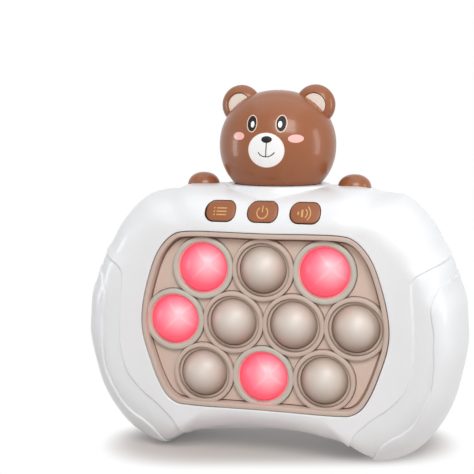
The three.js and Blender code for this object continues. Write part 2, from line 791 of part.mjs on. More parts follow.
// One bubble about the Y axis: a hollow dome, a flange behind the tray and a short skirt
function bubble() {
  const centre = bubbleRise - (bubbleRadius ** 2 + bubbleRise ** 2) / (2 * bubbleRise) + ledgeDepth;
  const outer = ledgeDepth + bubbleRise - centre;
  const arc = (radius, edge, steps) => {
    const last = Math.asin(edge / radius);
    return [...Array(steps + 1).keys()].map((k) => {
      const turn = (last * k) / steps;
      return [k === 0 ? 0 : radius * Math.sin(turn), -centre - radius * Math.cos(turn)];
    });
  };
  const inside = arc(outer - bubbleWall, bubbleRadius - bubbleWall, domeInnerSteps).reverse();
  return turned(
    [
      ...arc(outer, bubbleRadius, domeSteps),
      [bubbleRadius, bubbleFlangeFront],
      [bubbleFlangeRadius, bubbleFlangeFront],
      [bubbleFlangeRadius, bubbleFlangeBack],
      [bubbleRadius, bubbleFlangeBack],
      [bubbleRadius, bubbleFlangeBack + bubbleSkirt],
      [bubbleRadius - bubbleWall, bubbleFlangeBack + bubbleSkirt],
      ...inside,
    ],
    bubbleSides,
  );
}

// One button about X = 0: a cap with a sloping face, a flange behind the casing and a stem to its switch
function button() {
  const size = 2 * overrun;
  const behindFace = new THREE.BoxGeometry(size, size, size).translate(0, overrun, 0).rotateX(-buttonTilt);
  behindFace.translate(0, -buttonFaceDepth - buttonProud, buttonHeight);
  const flangeBack = buttonFlangeWall - buttonFlangeDepth;
  const cap = keySlab(0, -farDepth, flangeBack).intersect(solid(behindFace));
  const under = above(buttonHeight - buttonFlangeTop);
  const flange = keySlab(buttonFlange, -buttonFlangeDepth, flangeBack).subtract(under);
  const stemEnd = switchBack - switchThick - seatGap - buttonTravel;
  return joined([cap, flange, moved(rod(buttonStemRadius, -buttonFlangeDepth, stemEnd), 0, 0, buttonHeight)]);
}

// Boards
function mainBoard() {
  const board = slab(grown(windowLoop, -boardInset), boardFront, boardBack);
  return board.subtract(atPlaces(rod(trayPinRadius + seatGap, -farDepth, 0), trayPostPlaces));
}

function contactMat() {
  const hole = block(-matHoleHalf, matHoleHalf, -farDepth, 0, -matHoleHalf, matHoleHalf);
  return without(slab(grown(windowLoop, -matInset), matFront, ledBack), [
    atPlaces(hole, bubblePlaces),
    atPlaces(rod(trayPostRadius + seatGap, -farDepth, 0), trayPostPlaces),
  ]);
}

const led = () => block(-ledHalf, ledHalf, ledBack - ledThick, ledBack, -ledHalf, ledHalf);
const controlChip = () =>
  block(
    -chipHalfWidth,
    chipHalfWidth,
    boardBack + seatGap,
    boardBack + seatGap + chipThick,
    gridHeight - chipHalfHeight,
    gridHeight + chipHalfHeight,
  );
const buttonBoard = () =>
  block(
    -keyBoardHalfWidth,
    keyBoardHalfWidth,
    -keyBoardDepth,
    boardThick - keyBoardDepth,
    buttonHeight - keyBoardHalfHeight,
    buttonHeight + keyBoardHalfHeight,
  );
const keySwitch = () =>
  block(
    -switchHalf,
    switchHalf,
    switchBack - switchThick,
    switchBack,
    buttonHeight - switchHalf,
    buttonHeight + switchHalf,
  );

// Head, in a front and a rear half that meet at its widest plane
function headHalf(side) {
  const bottom = neckHeight + seatGap;
  const neck = (x, y) => ovalPost(x, y, neckHeight - neckDrop, bottom + headFloor, 0);
  const shell = headForm(0)
    .intersect(above(bottom))
    .subtract(headForm(-headWall).intersect(above(bottom + headFloor)));
  const throat = ovalPost(neckHalfWidth - neckWall, neckHalfDepth - neckWall, 0, headHeight, 0);
  const seam = headSetBack + (side * seatGap) / 2;
  const half = side < 0 ? between(-farDepth, seam) : between(seam, farDepth);
  return shell.add(neck(neckHalfWidth, neckHalfDepth)).subtract(throat).intersect(half);
}

// The right ear and the pale piece in its dish
function earDish(extra) {
  const dish = ball(earDishRadius + extra, earDishDepth + extra, earDishRadius + extra, ballSides, ballRows);
  return moved(dish, earAcross, headSetBack + earSetBack - earHalfDepth, earHeight);
}

function ear() {
  const form = moved(
    ball(earRadius, earHalfDepth, earRadius, ballSides, ballRows),
    earAcross,
    headSetBack + earSetBack,
    earHeight,
  );
  return without(form, [earDish(0), headForm(seatGap)]);
}

function earInner() {
  const front = headSetBack + earSetBack - earHalfDepth + earInnerRecess;
  return earDish(-seatGap).intersect(between(front, farDepth)).subtract(headForm(seatGap));
}

const paw = () => moved(pawForm(0, pawSeatHeight + seatGap).add(pawPeg(0)), pawAcross, 0, 0);

// Battery door with two tabs at its top and a screw cup at its bottom
function batteryDoor() {
  const box = block(-doorHalfWidth, doorHalfWidth, doorInner, rearDepth, doorBottom, doorTop);
  const plate = box.intersect(casingHalf(1, 0));
  const root = block(-tabHalfWidth, tabHalfWidth, tabFront, rearDepth, doorTop - tabRoot, doorTop);
  const tip = block(-tabHalfWidth, tabHalfWidth, tabFront, tabBack, doorTop - tabRoot, doorTop + tabReach);
  const cup = moved(rod(doorCupRadius, cupFront, rearDepth), 0, 0, doorScrewHeight);
  const well = rod(wellRadius, cupFront + doorCupFloor, farDepth);
  const bore = rod(screwBoreRadius, 0, farDepth);
  const made = joined([plate, cup, bothSides(moved(root.add(tip), tabAcross, 0, 0))]);
  return made.subtract(moved(well.add(bore), 0, 0, doorScrewHeight));
}

// A screw along Y with its head's underside at seat and its tip in front of it
function screw(shankRadius, seat, tip) {
  return rod(screwHeadRadius, seat, seat + screwHeadThick).add(rod(shankRadius, tip, seat + screwHeadThick / 2));
}

const doorScrew = () =>
  moved(
    screw(doorShankRadius, cupFront + doorCupFloor + seatGap, cupFront - seatGap - doorShankReach),
    0,
    0,
    doorScrewHeight,
  );

// One battery about Z = 0, its nub towards side
function battery(side) {
  const half = batteryLength / 2;
  const nub = bar(batteryNubRadius, 0, half + batteryNubRise);
  const cell = bar(batteryRadius, -half, half).add(side < 0 ? nub.mirror([1, 0, 0]) : nub);
  return moved(cell, 0, batteryDepth, 0);
}

// The contact plate at the right end of the bay, with a long spring where a flat end faces it
function contactPlate(side) {
  const near = contactFar - contactThick;
  const top = bayTop - contactShort;
  const bottom = bayBottom + contactShort;
  const plate = block(near, contactFar, bayFloor + seatGap, doorSeat - contactShort, bottom, top);
  const tail = block(
    near,
    contactFar,
    tailEnd,
    bayFloor + contactShort,
    bayHeight - tailHalfWidth,
    bayHeight + tailHalfWidth,
  );
  const springs = batteryPlaces.map((z, i) => {
    const long = nubSides[i] !== side;
    const rise = contactRise + (long ? batteryNubRise : 0);
    return moved(bar(contactNubRadius, near - rise, contactFar), 0, batteryDepth, z);
  });
  return joined([plate, tail, ...springs]);
}

function speaker() {
  const basket = rod(speakerRadius, speakerBack - speakerThick, speakerBack, ringSides);
  return moved(basket.add(rod(speakerMagnetRadius, speakerFront, speakerBack)), 0, 0, speakerHeight);
}

// A bowed wire between two points
function lead(from, to) {
  const middle = from.clone().add(to).divideScalar(2);
  middle.z += leadBow;
  const ring = [...Array(leadSides).keys()].map((i) => {
    const turn = (i * 2 * Math.PI) / leadSides;
    return new THREE.Vector2(leadRadius * Math.cos(turn), leadRadius * Math.sin(turn));
  });
  return solid(
    new THREE.ExtrudeGeometry(new THREE.Shape(ring), {
      steps: leadSteps,
      bevelEnabled: false,
      extrudePath: new THREE.CatmullRomCurve3([from, middle, to]),
    }),
  );
}

const batteryLead = () => {
  const x = contactFar - contactThick / 2;
  const board = new THREE.Vector3(x, boardBack + seatGap, bayHeight);
  return lead(new THREE.Vector3(x, tailEnd - seatGap, bayHeight), board);
};
const speakerLead = () => {
  const board = new THREE.Vector3(leadAcross, boardBack + seatGap, boardLeadHeight);
  return lead(new THREE.Vector3(leadAcross, speakerFront - seatGap, speakerHeight), board);
};

const colours = {
  white: 0xf4f5f6,
  cream: 0xefe3d6,
  brown: 0xa0674a,
  beige: 0xd2b8a8,
  glow: 0xff5c73,
  board: 0x2f6b46,
  dark: 0x26272a,
  steel: 0xb9bcc0,
  jacket: 0x3a6ea8,
  red: 0xb02a2a,
};

// The whole model, set so that the middle of its depth is over the origin
const model = new THREE.Group();
const frontReach = ledgeDepth + bubbleRise;
const rearReach = headSetBack + headHalfDepth;
model.position.y = (frontReach - rearReach) / 2;

function piece(name, made, colour) {
  const material = new THREE.MeshStandardMaterial({ color: colour, roughness: 0.35, metalness: 0 });
  const mesh = new THREE.Mesh(geometryOf(made), material);
  mesh.name = name;
  model.add(mesh);
}

function pieces(left, right, made, colour) {
  piece(right, made, colour);
  piece(left, made.mirror([1, 0, 0]), colour);
}

const numbered = (stem, i) => `${stem}_${String(i + 1).padStart(2, "0")}`;

piece("front_shell", frontShell(), colours.white);
piece("rear_shell", rearShell(), colours.white);
pieces("left_grip", "right_grip", rightGrip(), colours.white);
piece("bubble_panel", bubblePanel(), colours.beige);
const oneBubble = bubble();
bubblePlaces.forEach(([x, z], i) => {
  const colour = litBubbles.includes(i + 1) ? colours.glow : colours.beige;
  piece(numbered("bubble", i), moved(oneBubble, x, 0, z), colour);
  piece(numbered("led", i), moved(led(), x, 0, z), colours.cream);
});
["menu", "power", "sound"].forEach((name, i) => {
  piece(`${name}_button`, moved(button(), keyAcross[i], 0, 0), colours.brown);
  piece(`${name}_switch`, moved(keySwitch(), keyAcross[i], 0, 0), colours.dark);
});
piece("head_front", headHalf(-1), colours.brown);
piece("head_rear", headHalf(1), colours.brown);
pieces("left_ear", "right_ear", ear(), colours.brown);
pieces("left_ear_inner", "right_ear_inner", earInner(), colours.cream);
pieces("left_paw", "right_paw", paw(), colours.brown);
piece("main_board", mainBoard(), colours.board);
piece("contact_mat", contactMat(), colours.cream);
piece("control_chip", controlChip(), colours.dark);
piece("button_board", buttonBoard(), colours.board);
piece("battery_door", batteryDoor(), colours.white);
piece("battery_door_screw", doorScrew(), colours.steel);
batteryPlaces.forEach((z, i) => piece(`battery_${i + 1}`, moved(battery(nubSides[i]), 0, 0, z), colours.jacket));
piece("battery_contact_right", contactPlate(1), colours.steel);
piece("battery_contact_left", contactPlate(-1).mirror([1, 0, 0]), colours.steel);
pieces("battery_lead_left", "battery_lead_right", batteryLead(), colours.red);
piece("speaker", speaker(), colours.dark);
pieces("speaker_lead_left", "speaker_lead_right", speakerLead(), colours.red);
const caseScrew = screw(screwShankRadius, screwSeat, screwSeat - screwLength);
casePlaces.forEach(([x, z], i) => piece(`case_screw_${i + 1}`, moved(caseScrew, x, 0, z), colours.steel));

export default model;
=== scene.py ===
from math import acos, asin, copysign, cos, pi, radians, sin, sqrt, tan
import bmesh
import bpy
import numpy as np
from mathutils import Matrix, Vector


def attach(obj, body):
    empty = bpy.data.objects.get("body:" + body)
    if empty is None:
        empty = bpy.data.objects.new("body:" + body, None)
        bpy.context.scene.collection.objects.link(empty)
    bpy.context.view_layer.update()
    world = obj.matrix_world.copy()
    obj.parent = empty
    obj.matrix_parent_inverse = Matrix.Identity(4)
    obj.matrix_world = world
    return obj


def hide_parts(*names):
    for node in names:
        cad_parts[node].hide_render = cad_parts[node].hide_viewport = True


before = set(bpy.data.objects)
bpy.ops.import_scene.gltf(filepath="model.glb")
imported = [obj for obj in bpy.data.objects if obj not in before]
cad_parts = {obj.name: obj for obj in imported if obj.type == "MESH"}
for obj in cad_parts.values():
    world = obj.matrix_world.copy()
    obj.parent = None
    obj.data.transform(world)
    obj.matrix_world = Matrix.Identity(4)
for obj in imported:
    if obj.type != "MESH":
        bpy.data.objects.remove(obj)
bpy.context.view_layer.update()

# Electronic bubble pop game. Pieces are worked out in millimetres, with y = 0 where the two shells meet.
midDepth = 2.7  # that plane in the frame
gridHeight = 62  # the middle row of bubbles
crestHeight = 120.2  # top of the casing
mergeDistance = 1e-6  # of points that become one, in metres
throughAll = 40  # how far out cutters reach, past the casing


def mm(points):  # build millimetres to the frame's metres
    return (np.asarray(points, float) + (0, midDepth, 0)) / 1000


def newObject(name, points, faces):
    mesh = bpy.data.meshes.new(name)
    mesh.from_pydata(mm(points).tolist(), [], [list(map(int, f)) for f in faces])
    mesh.validate()
    made = bpy.data.objects.new(name, mesh)
    bpy.context.scene.collection.objects.link(made)
    return made


def tidyMesh(made):
    work = bmesh.new()
    work.from_mesh(made.data)
    bmesh.ops.remove_doubles(work, verts=work.verts, dist=mergeDistance)
    bmesh.ops.dissolve_degenerate(work, edges=work.edges, dist=mergeDistance)
    bmesh.ops.recalc_face_normals(work, faces=work.faces)
    work.to_mesh(made.data)
    work.free()


def faceAway(made, middle):  # turns an open skin so that it faces away from a point
    middle = Vector(mm([middle])[0])
    total = sum(p.normal.dot(p.center - middle) * p.area for p in made.data.polygons)
    if total < 0:
        made.data.flip_normals()


def setAll(thing, settings):
    for key, value in settings.items():
        setattr(thing, key, value)


def modify(made, kind, **settings):  # leaves the shape that a modifier gives
    setAll(made.modifiers.new(kind, kind), settings)
    bpy.context.view_layer.update()
    shaped = bpy.data.meshes.new_from_object(made.evaluated_get(bpy.context.evaluated_depsgraph_get()))
    made.modifiers.clear()
    made.data = shaped


def thicken(made, thickness, rimOnly=False):
    modify(made, "SOLIDIFY", thickness=thickness / 1000, offset=-1, use_rim=True, use_rim_only=rimOnly)


def cut(made, cutters):
    for cutter in cutters:
        modify(made, "BOOLEAN", operation="DIFFERENCE", solver="EXACT", object=cutter)
        bpy.data.objects.remove(cutter)


def roundEdges(made, width, degrees=40, segments=3):
    modify(made, "BEVEL", width=width / 1000, segments=segments, limit_method="ANGLE",
        angle_limit=radians(degrees), use_clamp_overlap=True)


def dress(made, look, body="casing", stands=(), sharp=35):  # sharp: degrees from which an edge shows
    made.data.shade_smooth()
    made.data.set_sharp_from_angle(angle=radians(sharp))
    made.data.materials.clear()
    made.data.materials.append(finish[look])
    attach(made, body)
    if stands:
        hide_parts(*stands)


def pick(piece, names):  # the named values of a piece's dictionary
    return [piece[name] for name in names.split()]


def fullTurn(steps):
    return np.linspace(0, 2 * pi, steps, endpoint=False)


def gridObject(name, grid, closed=True, caps=(False, False)):  # grid: rows x columns x 3
    grid = np.array(grid)
    rows, columns = grid.shape[:2]
    faces = []
    for r in range(rows - 1):
        for c in range(columns if closed else columns - 1):
            n = (c + 1) % columns
            faces.append((r * columns + c, r * columns + n, (r + 1) * columns + n, (r + 1) * columns + c))
    if caps[0]:
        faces.append(tuple(range(columns)))
    if caps[1]:
        faces.append(tuple(range((rows - 1) * columns, rows * columns))[::-1])
    made = newObject(name, grid.reshape(-1, 3), faces)
    tidyMesh(made)
    return made


def joined(x, y, z):
    return np.stack(np.broadcast_arrays(x, y, z), 1)


def atDepth(loop, y):  # a flat loop's points at one depth, or at a depth each
    return joined(loop[:, 0], y, loop[:, 1])


def prism(name, loop, y0, y1):
    return gridObject(name, [atDepth(loop, y0), atDepth(loop, y1)], caps=(True, True))


def turned(name, profile, centre, sides=96):  # radius and depth pairs, turned about a line along Y
    turn = fullTurn(sides)
    circle = np.stack([np.cos(turn), np.sin(turn)], 1)
    return gridObject(name, [atDepth(circle * r + centre, y) for r, y in profile])


def cylinder(name, radius, y0, y1, centre, sides=48):
    return turned(name, [(0, y0), (radius, y0), (radius, y1), (0, y1)], centre, sides)


# Curves


def throughPoints(points, closed=False, steps=24):  # centripetal Catmull-Rom
    points = np.asarray(points, float)
    if closed:
        points = np.vstack([points[-1], points, points[:2]])
    else:
        points = np.vstack([2 * points[0] - points[1], points, 2 * points[-1] - points[-2]])
    made = []
    for i in range(1, len(points) - 2):
        p0, p1, p2, p3 = points[i - 1 : i + 3]
        d0, d1, d2 = (max(np.linalg.norm(b - a), 1e-6) ** 0.5 for a, b in ((p0, p1), (p1, p2), (p2, p3)))
        m1 = ((p1 - p0) / d0 - (p2 - p0) / (d0 + d1) + (p2 - p1) / d1) * d1
        m2 = ((p2 - p1) / d1 - (p3 - p1) / (d1 + d2) + (p3 - p2) / d2) * d1
        t = np.linspace(0, 1, steps, endpoint=False)[:, None]
        made.append(p1 * (2 * t**3 - 3 * t**2 + 1) + m1 * (t**3 - 2 * t**2 + t)
            + p2 * (3 * t**2 - 2 * t**3) + m2 * (t**3 - t**2))
    made = np.vstack(made)
    return made if closed else np.vstack([made, points[-2]])


def fullLoop(half):  # a right half and its mirror image
    half = np.asarray(half, float)
    left = half[1:-1][::-1].copy()
    left[:, 0] *= -1
    return np.vstack([half, left])


def evenly(loop, count):
    closed = np.vstack([loop, loop[:1]])
    steps = np.r_[0, np.cumsum(np.linalg.norm(np.diff(closed[:, :2], axis=0), axis=1))]
    at = np.linspace(0, steps[-1], count, endpoint=False)
    return np.stack([np.interp(at, steps, closed[:, k]) for k in range(closed.shape[1])], 1)


def outward(loop):  # of a loop that runs clockwise
    along = np.roll(loop, -1, 0)[:, :2] - np.roll(loop, 1, 0)[:, :2]
    out = np.stack([-along[:, 1], along[:, 0]], 1)
    return out / np.linalg.norm(out, axis=1)[:, None]


def shifted(line, distance):  # moves a right-hand line that runs downwards away from the middle
    along = np.gradient(line, axis=0)
    out = np.stack([-along[:, 1], along[:, 0]], 1) / np.linalg.norm(along, axis=1)[:, None]
    return line + out * distance


def roundedBox(halfWidth, halfHeight, corner, steps=8):  # clockwise from the top right
    points = []
    for cx, cz, start in ((1, 1, 90), (1, -1, 0), (-1, -1, -90), (-1, 1, -180)):
        for k in range(steps + 1):
            turn = radians(start - 90 * k / steps)
            points.append((cx * (halfWidth - corner) + corner * cos(turn),
                cz * (halfHeight - corner) + corner * sin(turn)))
    return np.array(points)


casing = {
    "halfWidth": 85.88, "frontDepth": 27.8, "rearDepth": 23, "gripRise": 2.2, "riseStart": 54,
    "riseWidth": 22, "rollWidth": 20, "frontRollPower": 2.2, "rearRollPower": 3.2, "skin": 2.2,
    "edge": 0.5,  # rounding of the body's edges
    "seamEdge": 0.12, "bayEdge": 0.3, "gripEdge": 0.7, "gripGap": 0.15,
    "gripStart": 45,  # radius from which the grips' rings are laid out
    "bandRecess": 0.9, "bandThick": 0.8, "bandUnderBody": 1.6, "bandUnderGrip": 1.4, "bandStart": 40,
    "rayStep": 0.5,  # degrees, and the least angle between two rays
    "leastRayStep": 0.06,
    # right half of the outline, top to bottom: shares of half-width, top height and roll width
    "outline": [
        (0, 0.9998, 1), (0.285, 1.0018, 1), (0.452, 1.0025, 1), (0.539, 0.9811, 1), (0.675, 0.9637, 1),
        (0.808, 0.8735, 0.95), (0.873, 0.7932, 0.9), (0.925, 0.7382, 0.85), (0.954, 0.6603, 0.75),
        (0.982, 0.602, 0.7), (0.995, 0.515, 0.68), (1, 0.4368, 0.7), (0.976, 0.3278, 0.78),
        (0.936, 0.2198, 0.9), (0.872, 0.1307, 1.05), (0.782, 0.0516, 1.2), (0.669, 0.0025, 1.25),
        (0.601, -0.0075, 1.2), (0.546, 0.0017, 1.15), (0.425, 0.0478, 1.05), (0.313, 0.065, 0.95),
        (0.204, 0.0789, 0.85), (0, 0.0864, 0.75),
    ],
    # the line between body and band, then the one between band and grip, shoulder to bottom
    "bodyLine": [
        (1.089, 0.7726), (0.901, 0.7481), (0.82, 0.7381), (0.752, 0.7032), (0.747, 0.6426),
        (0.754, 0.5834), (0.761, 0.4823), (0.758, 0.4071), (0.742, 0.3486), (0.717, 0.3023),
        (0.679, 0.2665), (0.632, 0.2328), (0.579, 0.205), (0.531, 0.1745), (0.486, 0.1417),
        (0.453, 0.1015), (0.429, 0.0513), (0.406, -0.0035), (0.393, -0.0933),
    ],
    "gripLine": [
        (1.086, 0.6552), (0.936, 0.6875), (0.885, 0.6801), (0.854, 0.6445), (0.838, 0.6134),
        (0.843, 0.5696), (0.854, 0.5195), (0.854, 0.4658), (0.857, 0.4159), (0.854, 0.362),
        (0.846, 0.3157), (0.819, 0.2693), (0.79, 0.2234), (0.757, 0.1813), (0.706, 0.1469),
        (0.648, 0.1197), (0.599, 0.0859), (0.565, 0.042), (0.532, -0.005), (0.516, -0.0918),
    ],
}

scaled = np.array([casing["halfWidth"], crestHeight, casing["rollWidth"]])
outlineLoop = evenly(throughPoints(fullLoop(np.array(casing["outline"]) * scaled), True), 2400)
outlineOut = outward(outlineLoop)
bodyLine = throughPoints(np.array(casing["bodyLine"]) * scaled[:2])
gripLine = throughPoints(np.array(casing["gripLine"]) * scaled[:2])


def polar(points):
    arm = points[:, :2] - (0, gridHeight)
    return np.arctan2(arm[:, 1], arm[:, 0]), np.linalg.norm(arm, axis=1)


def onLoop(loop, angles, values=None):
    # how far a star-shaped loop reaches at these angles round the grid's middle, or its other values there
    turn, reach = polar(loop)
    values = reach if values is None else values
    order = np.argsort(turn)
    return np.interp(angles, turn[order], values[order], period=2 * pi)


def onLine(line, angles):  # least distance at which each ray meets an open line on the right side
    turn, reach = polar(line)
    best = np.full(len(angles), np.inf)
    for a0, a1, r0, r1 in zip(turn[:-1], turn[1:], reach[:-1], reach[1:]):
        low, high = min(a0, a1), max(a0, a1)
        hit = (angles >= low) & (angles <= high)
        if high - low < 1e-9:
            continue
        at = r0 + (r1 - r0) * (angles[hit] - a0) / (a1 - a0)
        best[hit] = np.minimum(best[hit], at)
    return best


def rayAngles():  # right half of the rays, closer where the side lines run along them
    turns = [np.radians(np.arange(-90, 90.01, casing["rayStep"]))]
    beside = casing["bandUnderBody"]
    for line in (bodyLine, gripLine):
        for distance in (-beside, 0, beside):
            turn, reach = polar(shifted(line, distance))
            turns.append(turn[reach < onLoop(outlineLoop, turn) + 2])
    turns = np.sort(np.concatenate(turns))
    kept = [turns[0]]
    for turn in turns[1:]:
        if turn - kept[-1] > radians(casing["leastRayStep"]):
            kept.append(turn)
    kept[-1] = pi / 2
    return np.array(kept)


def swell(x, side):  # how much further out the front lies towards the grips
    t = np.clip((np.abs(x) - casing["riseStart"]) / casing["riseWidth"], 0, 1)
    return casing["gripRise"] * t * t * (3 - 2 * t) if side < 0 else 0 * t


def casingRows(side, angles, near, far, standOff=0, rings=44, seam=0.15, edges=(0, 0), start=np.inf):
    # Points on the rounded casing along each ray, from radius near to radius far, as rings x rays x 3.
    # The rings are spread from start, so that they keep their places from ray to ray and a line across the
    # casing leaves no crease in it. The edges at near and far are rounded.
    power = casing["frontRollPower" if side < 0 else "rearRollPower"]
    depth = casing["frontDepth" if side < 0 else "rearDepth"]
    reach = onLoop(outlineLoop, angles)
    roll, outX, outZ = (onLoop(outlineLoop, angles, v) for v in (outlineLoop[:, 2], *outlineOut.T))
    far = np.minimum(far, reach)
    near = np.minimum(near, far)
    start = np.minimum(start, near)
    edges = [np.broadcast_to(edge, len(angles)) for edge in edges]
    corner = np.radians((22.5, 45, 67.5, 90))
    flatSteps, bendSteps = 40, 90
    rays = []
    for i, angle in enumerate(angles):
        flatEnd = reach[i] - roll[i]
        flat = np.linspace(start[i], flatEnd, flatSteps)[:-1] if start[i] < flatEnd else np.empty(0)
        first = acos(min(max(1 - (reach[i] - max(start[i], flatEnd)) / roll[i], 0), 1) ** (power / 2))
        bend = np.linspace(pi / 2 if len(flat) else first, 0, bendSteps)
        bendRim = np.abs(np.cos(bend)) ** (2 / power)
        rim = np.r_[0 * flat, bendRim]
        lift = np.r_[0 * flat + 1, np.abs(np.sin(bend)) ** (2 / power)]
        radii = np.r_[flat, reach[i] - roll[i] * (1 - bendRim)]

        def pointsAt(radius, rimShare, liftShare, off):
            x = cos(angle) * radius + outX[i] * off * rimShare
            z = gridHeight + sin(angle) * radius + outZ[i] * off * rimShare
            return joined(x, side * (seam + (depth + swell(x, side) + off - seam) * liftShare), z)

        ray = pointsAt(radii, rim, lift, standOff)
        steps = np.r_[0, np.cumsum(np.linalg.norm(np.diff(ray, axis=0), axis=1))]
        low, high = np.interp((near[i], far[i]), radii, steps)
        nearEdge, farEdge = (min(edge[i], (high - low) / 2) for edge in edges)
        at = np.linspace(0, steps[-1], rings)
        gap = 0.4 * steps[-1] / (rings - 1)
        at = np.where(at < low + nearEdge + gap, low + nearEdge, at)
        at = np.where(at > high - farEdge - gap, high - farEdge, at)
        inner = np.r_[low, low + nearEdge * (1 - np.cos(corner[:-1]))]
        at = np.r_[inner, at, high - farEdge * (1 - np.sin(corner))]
        drop = np.r_[nearEdge, nearEdge * (1 - np.sin(corner[:-1])), np.zeros(rings),
            farEdge * (1 - np.cos(corner))]
        rays.append(pointsAt(*(np.interp(at, steps, v) for v in (radii, rim, lift)), standOff - drop))
    return np.array(rays).transpose(1, 0, 2)


def closedSkin(outer, under):  # an outer skin closed with the skin behind it
    return np.concatenate([outer, under[::-1], outer[:1]])


def casingDepth(x, z):  # of the front face at a place inside the outline
    turn, r = polar(np.stack([x, z], -1).reshape(-1, 2))
    roll = onLoop(outlineLoop, turn, outlineLoop[:, 2])
    rim = np.clip(1 - (onLoop(outlineLoop, turn) - r) / roll, 0, 1)
    power = casing["frontRollPower"]
    return -(casing["frontDepth"] + swell(np.ravel(x), -1)) * (1 - rim**power) ** (1 / power)


def mirrored(grid):
    return grid * (-1, 1, 1)


def wholeRound(rows):  # right half of the rays and their mirror image as one ring
    return np.concatenate([rows, mirrored(rows[:, 1:-1])[:, ::-1]], 1)


def spanOf(here):  # the run of rays where something shows, with one more at each end
    found = np.flatnonzero(here)
    return slice(max(found[0] - 1, 0), found[-1] + 2)


# Materials

mould = {"cloudScale": 22, "cloudDetail": 3, "grainScale": 1400, "grainDepth": 0.00004}  # depth in metres
finish = {}


def fill(tree, node, inputs):  # inputs: sockets with a value, or with an output to link
    for key, value in inputs.items():
        if isinstance(value, bpy.types.NodeSocket):
            tree.links.new(value, node.inputs[key])
        else:
            node.inputs[key].default_value = value


def addNode(tree, kind, inputs={}, **settings):  # gives the new node's outputs
    made = tree.nodes.new("ShaderNode" + kind)
    setAll(made, settings)
    fill(tree, made, inputs)
    return made.outputs


def calc(tree, operation, first, second=0.5):
    return addNode(tree, "Math", {0: first, 1: second}, operation=operation)["Value"]


def seenAs(tree, output, lit, seen, share):  # a surface or world that looks different to some rays
    mixed = addNode(tree, "MixShader", {"Fac": share, 1: lit, 2: seen})["Shader"]
    fill(tree, tree.nodes[output], {"Surface": mixed})


def linear(text):  # a written colour such as A0674A
    values = [int(text[i : i + 2], 16) / 255 for i in (0, 2, 4)]
    return tuple(v / 12.92 if v <= 0.04045 else ((v + 0.055) / 1.055) ** 2.4 for v in values)


def shade(name, inputs):
    tree = finish[name].node_tree
    fill(tree, tree.nodes["Principled BSDF"], inputs)


def moulded(name, slot, colour, roughness=0.3, coat=0, grain=0.15, mottle=0.03, coatRoughness=0.08):
    # mottle is a faint unevenness of the moulding, grain the fine bumps of its surface
    finish[name] = bpy.data.materials.new(name)
    finish[name].use_nodes = True
    tree = finish[name].node_tree
    place = addNode(tree, "TexCoord")["Object"]
    scale, detail, fineScale, depth = pick(mould, "cloudScale cloudDetail grainScale grainDepth")
    cloud = addNode(tree, "TexNoise", {"Vector": place, "Scale": scale, "Detail": detail})["Fac"]
    dark, pale = ((*[min(c * share, 1) for c in linear(colour)], 1) for share in (1 - mottle, 1 + mottle))
    tone = addNode(tree, "Mix", {"Factor": cloud, "A": dark, "B": pale}, data_type="RGBA")["Result"]
    fine = addNode(tree, "TexNoise", {"Vector": place, "Scale": fineScale})["Fac"]
    bump = addNode(tree, "Bump", {"Strength": grain, "Distance": depth, "Height": fine})["Normal"]
    shade(name, {"Base Color": tone, "Normal": bump, "Roughness": roughness, "Coat Weight": coat})
    shade(name, {"Coat Roughness": coatRoughness})


looks = {  # by slot: name, colour, roughness, weight of the gloss, grain, mottle
    "casing_white": [
        ("casingWhite", "F1F2F3", 0.32, 0.2), ("gripWhite", "EBEDEF", 0.34, 0.2),
        ("bandWhite", "EEF0F1", 0.34, 0.2), ("bayDark", "DADCE0", 0.5), ("paintedGapShade", "4A342A", 0.6),
    ],
    "tray_beige": [
        ("trayBeige", "CFBAAD", 0.5), ("trayFloorPaintedLight", "DDC6B7", 0.5), ("paintedGutterShade", "AE9282", 0.5),
        ("paintedGlowTintRing", "C8C6B9", 0.42, 0.05), ("ledgePink", "F4506A", 0.42),
    ],
    "bear_brown": [("bearBrown", "995C3A", 0.3, 0.25, 0.08), ("buttonBrown", "9C5F3E", 0.38, 0.1)],
    "ear_cream": [("earCream", "EFE3D6", 0.5)],
    "steel": [("steel", "B9BCC0", 0.3)],
    "battery_jacket": [("cellJacket", "3A6EA8", 0.25, 0.3)],
    None: [
        ("iconGold", "D9A766", 0.4), ("paintBlack", "120E12", 0.55, 0, 0, 0),
        ("paintWhite", "FCFCFC", 0.3, 0.3, 0, 0), ("paintCream", "EFD2BC", 0.4, 0, 0),
        ("paintPink", "FBC0B8", 0.4, 0.2, 0), ("board", "2F6B46", 0.45), ("darkPlastic", "26272A", 0.5),
        ("wireRed", "B02A2A", 0.4), ("rubberGrey", "BEBAB4", 0.6), ("ledClear", "F4F0E6", 0.2),
    ],
}
for slot, rows in looks.items():
    for name, *values in rows:
        moulded(name, slot, *values)
for name in ("bearBrown", "buttonBrown", "paintBlack"):
    shade(name, {"Specular IOR Level": 0.3})
shade("steel", {"Metallic": 1})
# the ledge strip glows pink as painted light from a lit dome
shade("ledgePink", {"Emission Color": (*linear("F9455F"), 1), "Emission Strength": 0.45})
print("materials ready")


# Casing


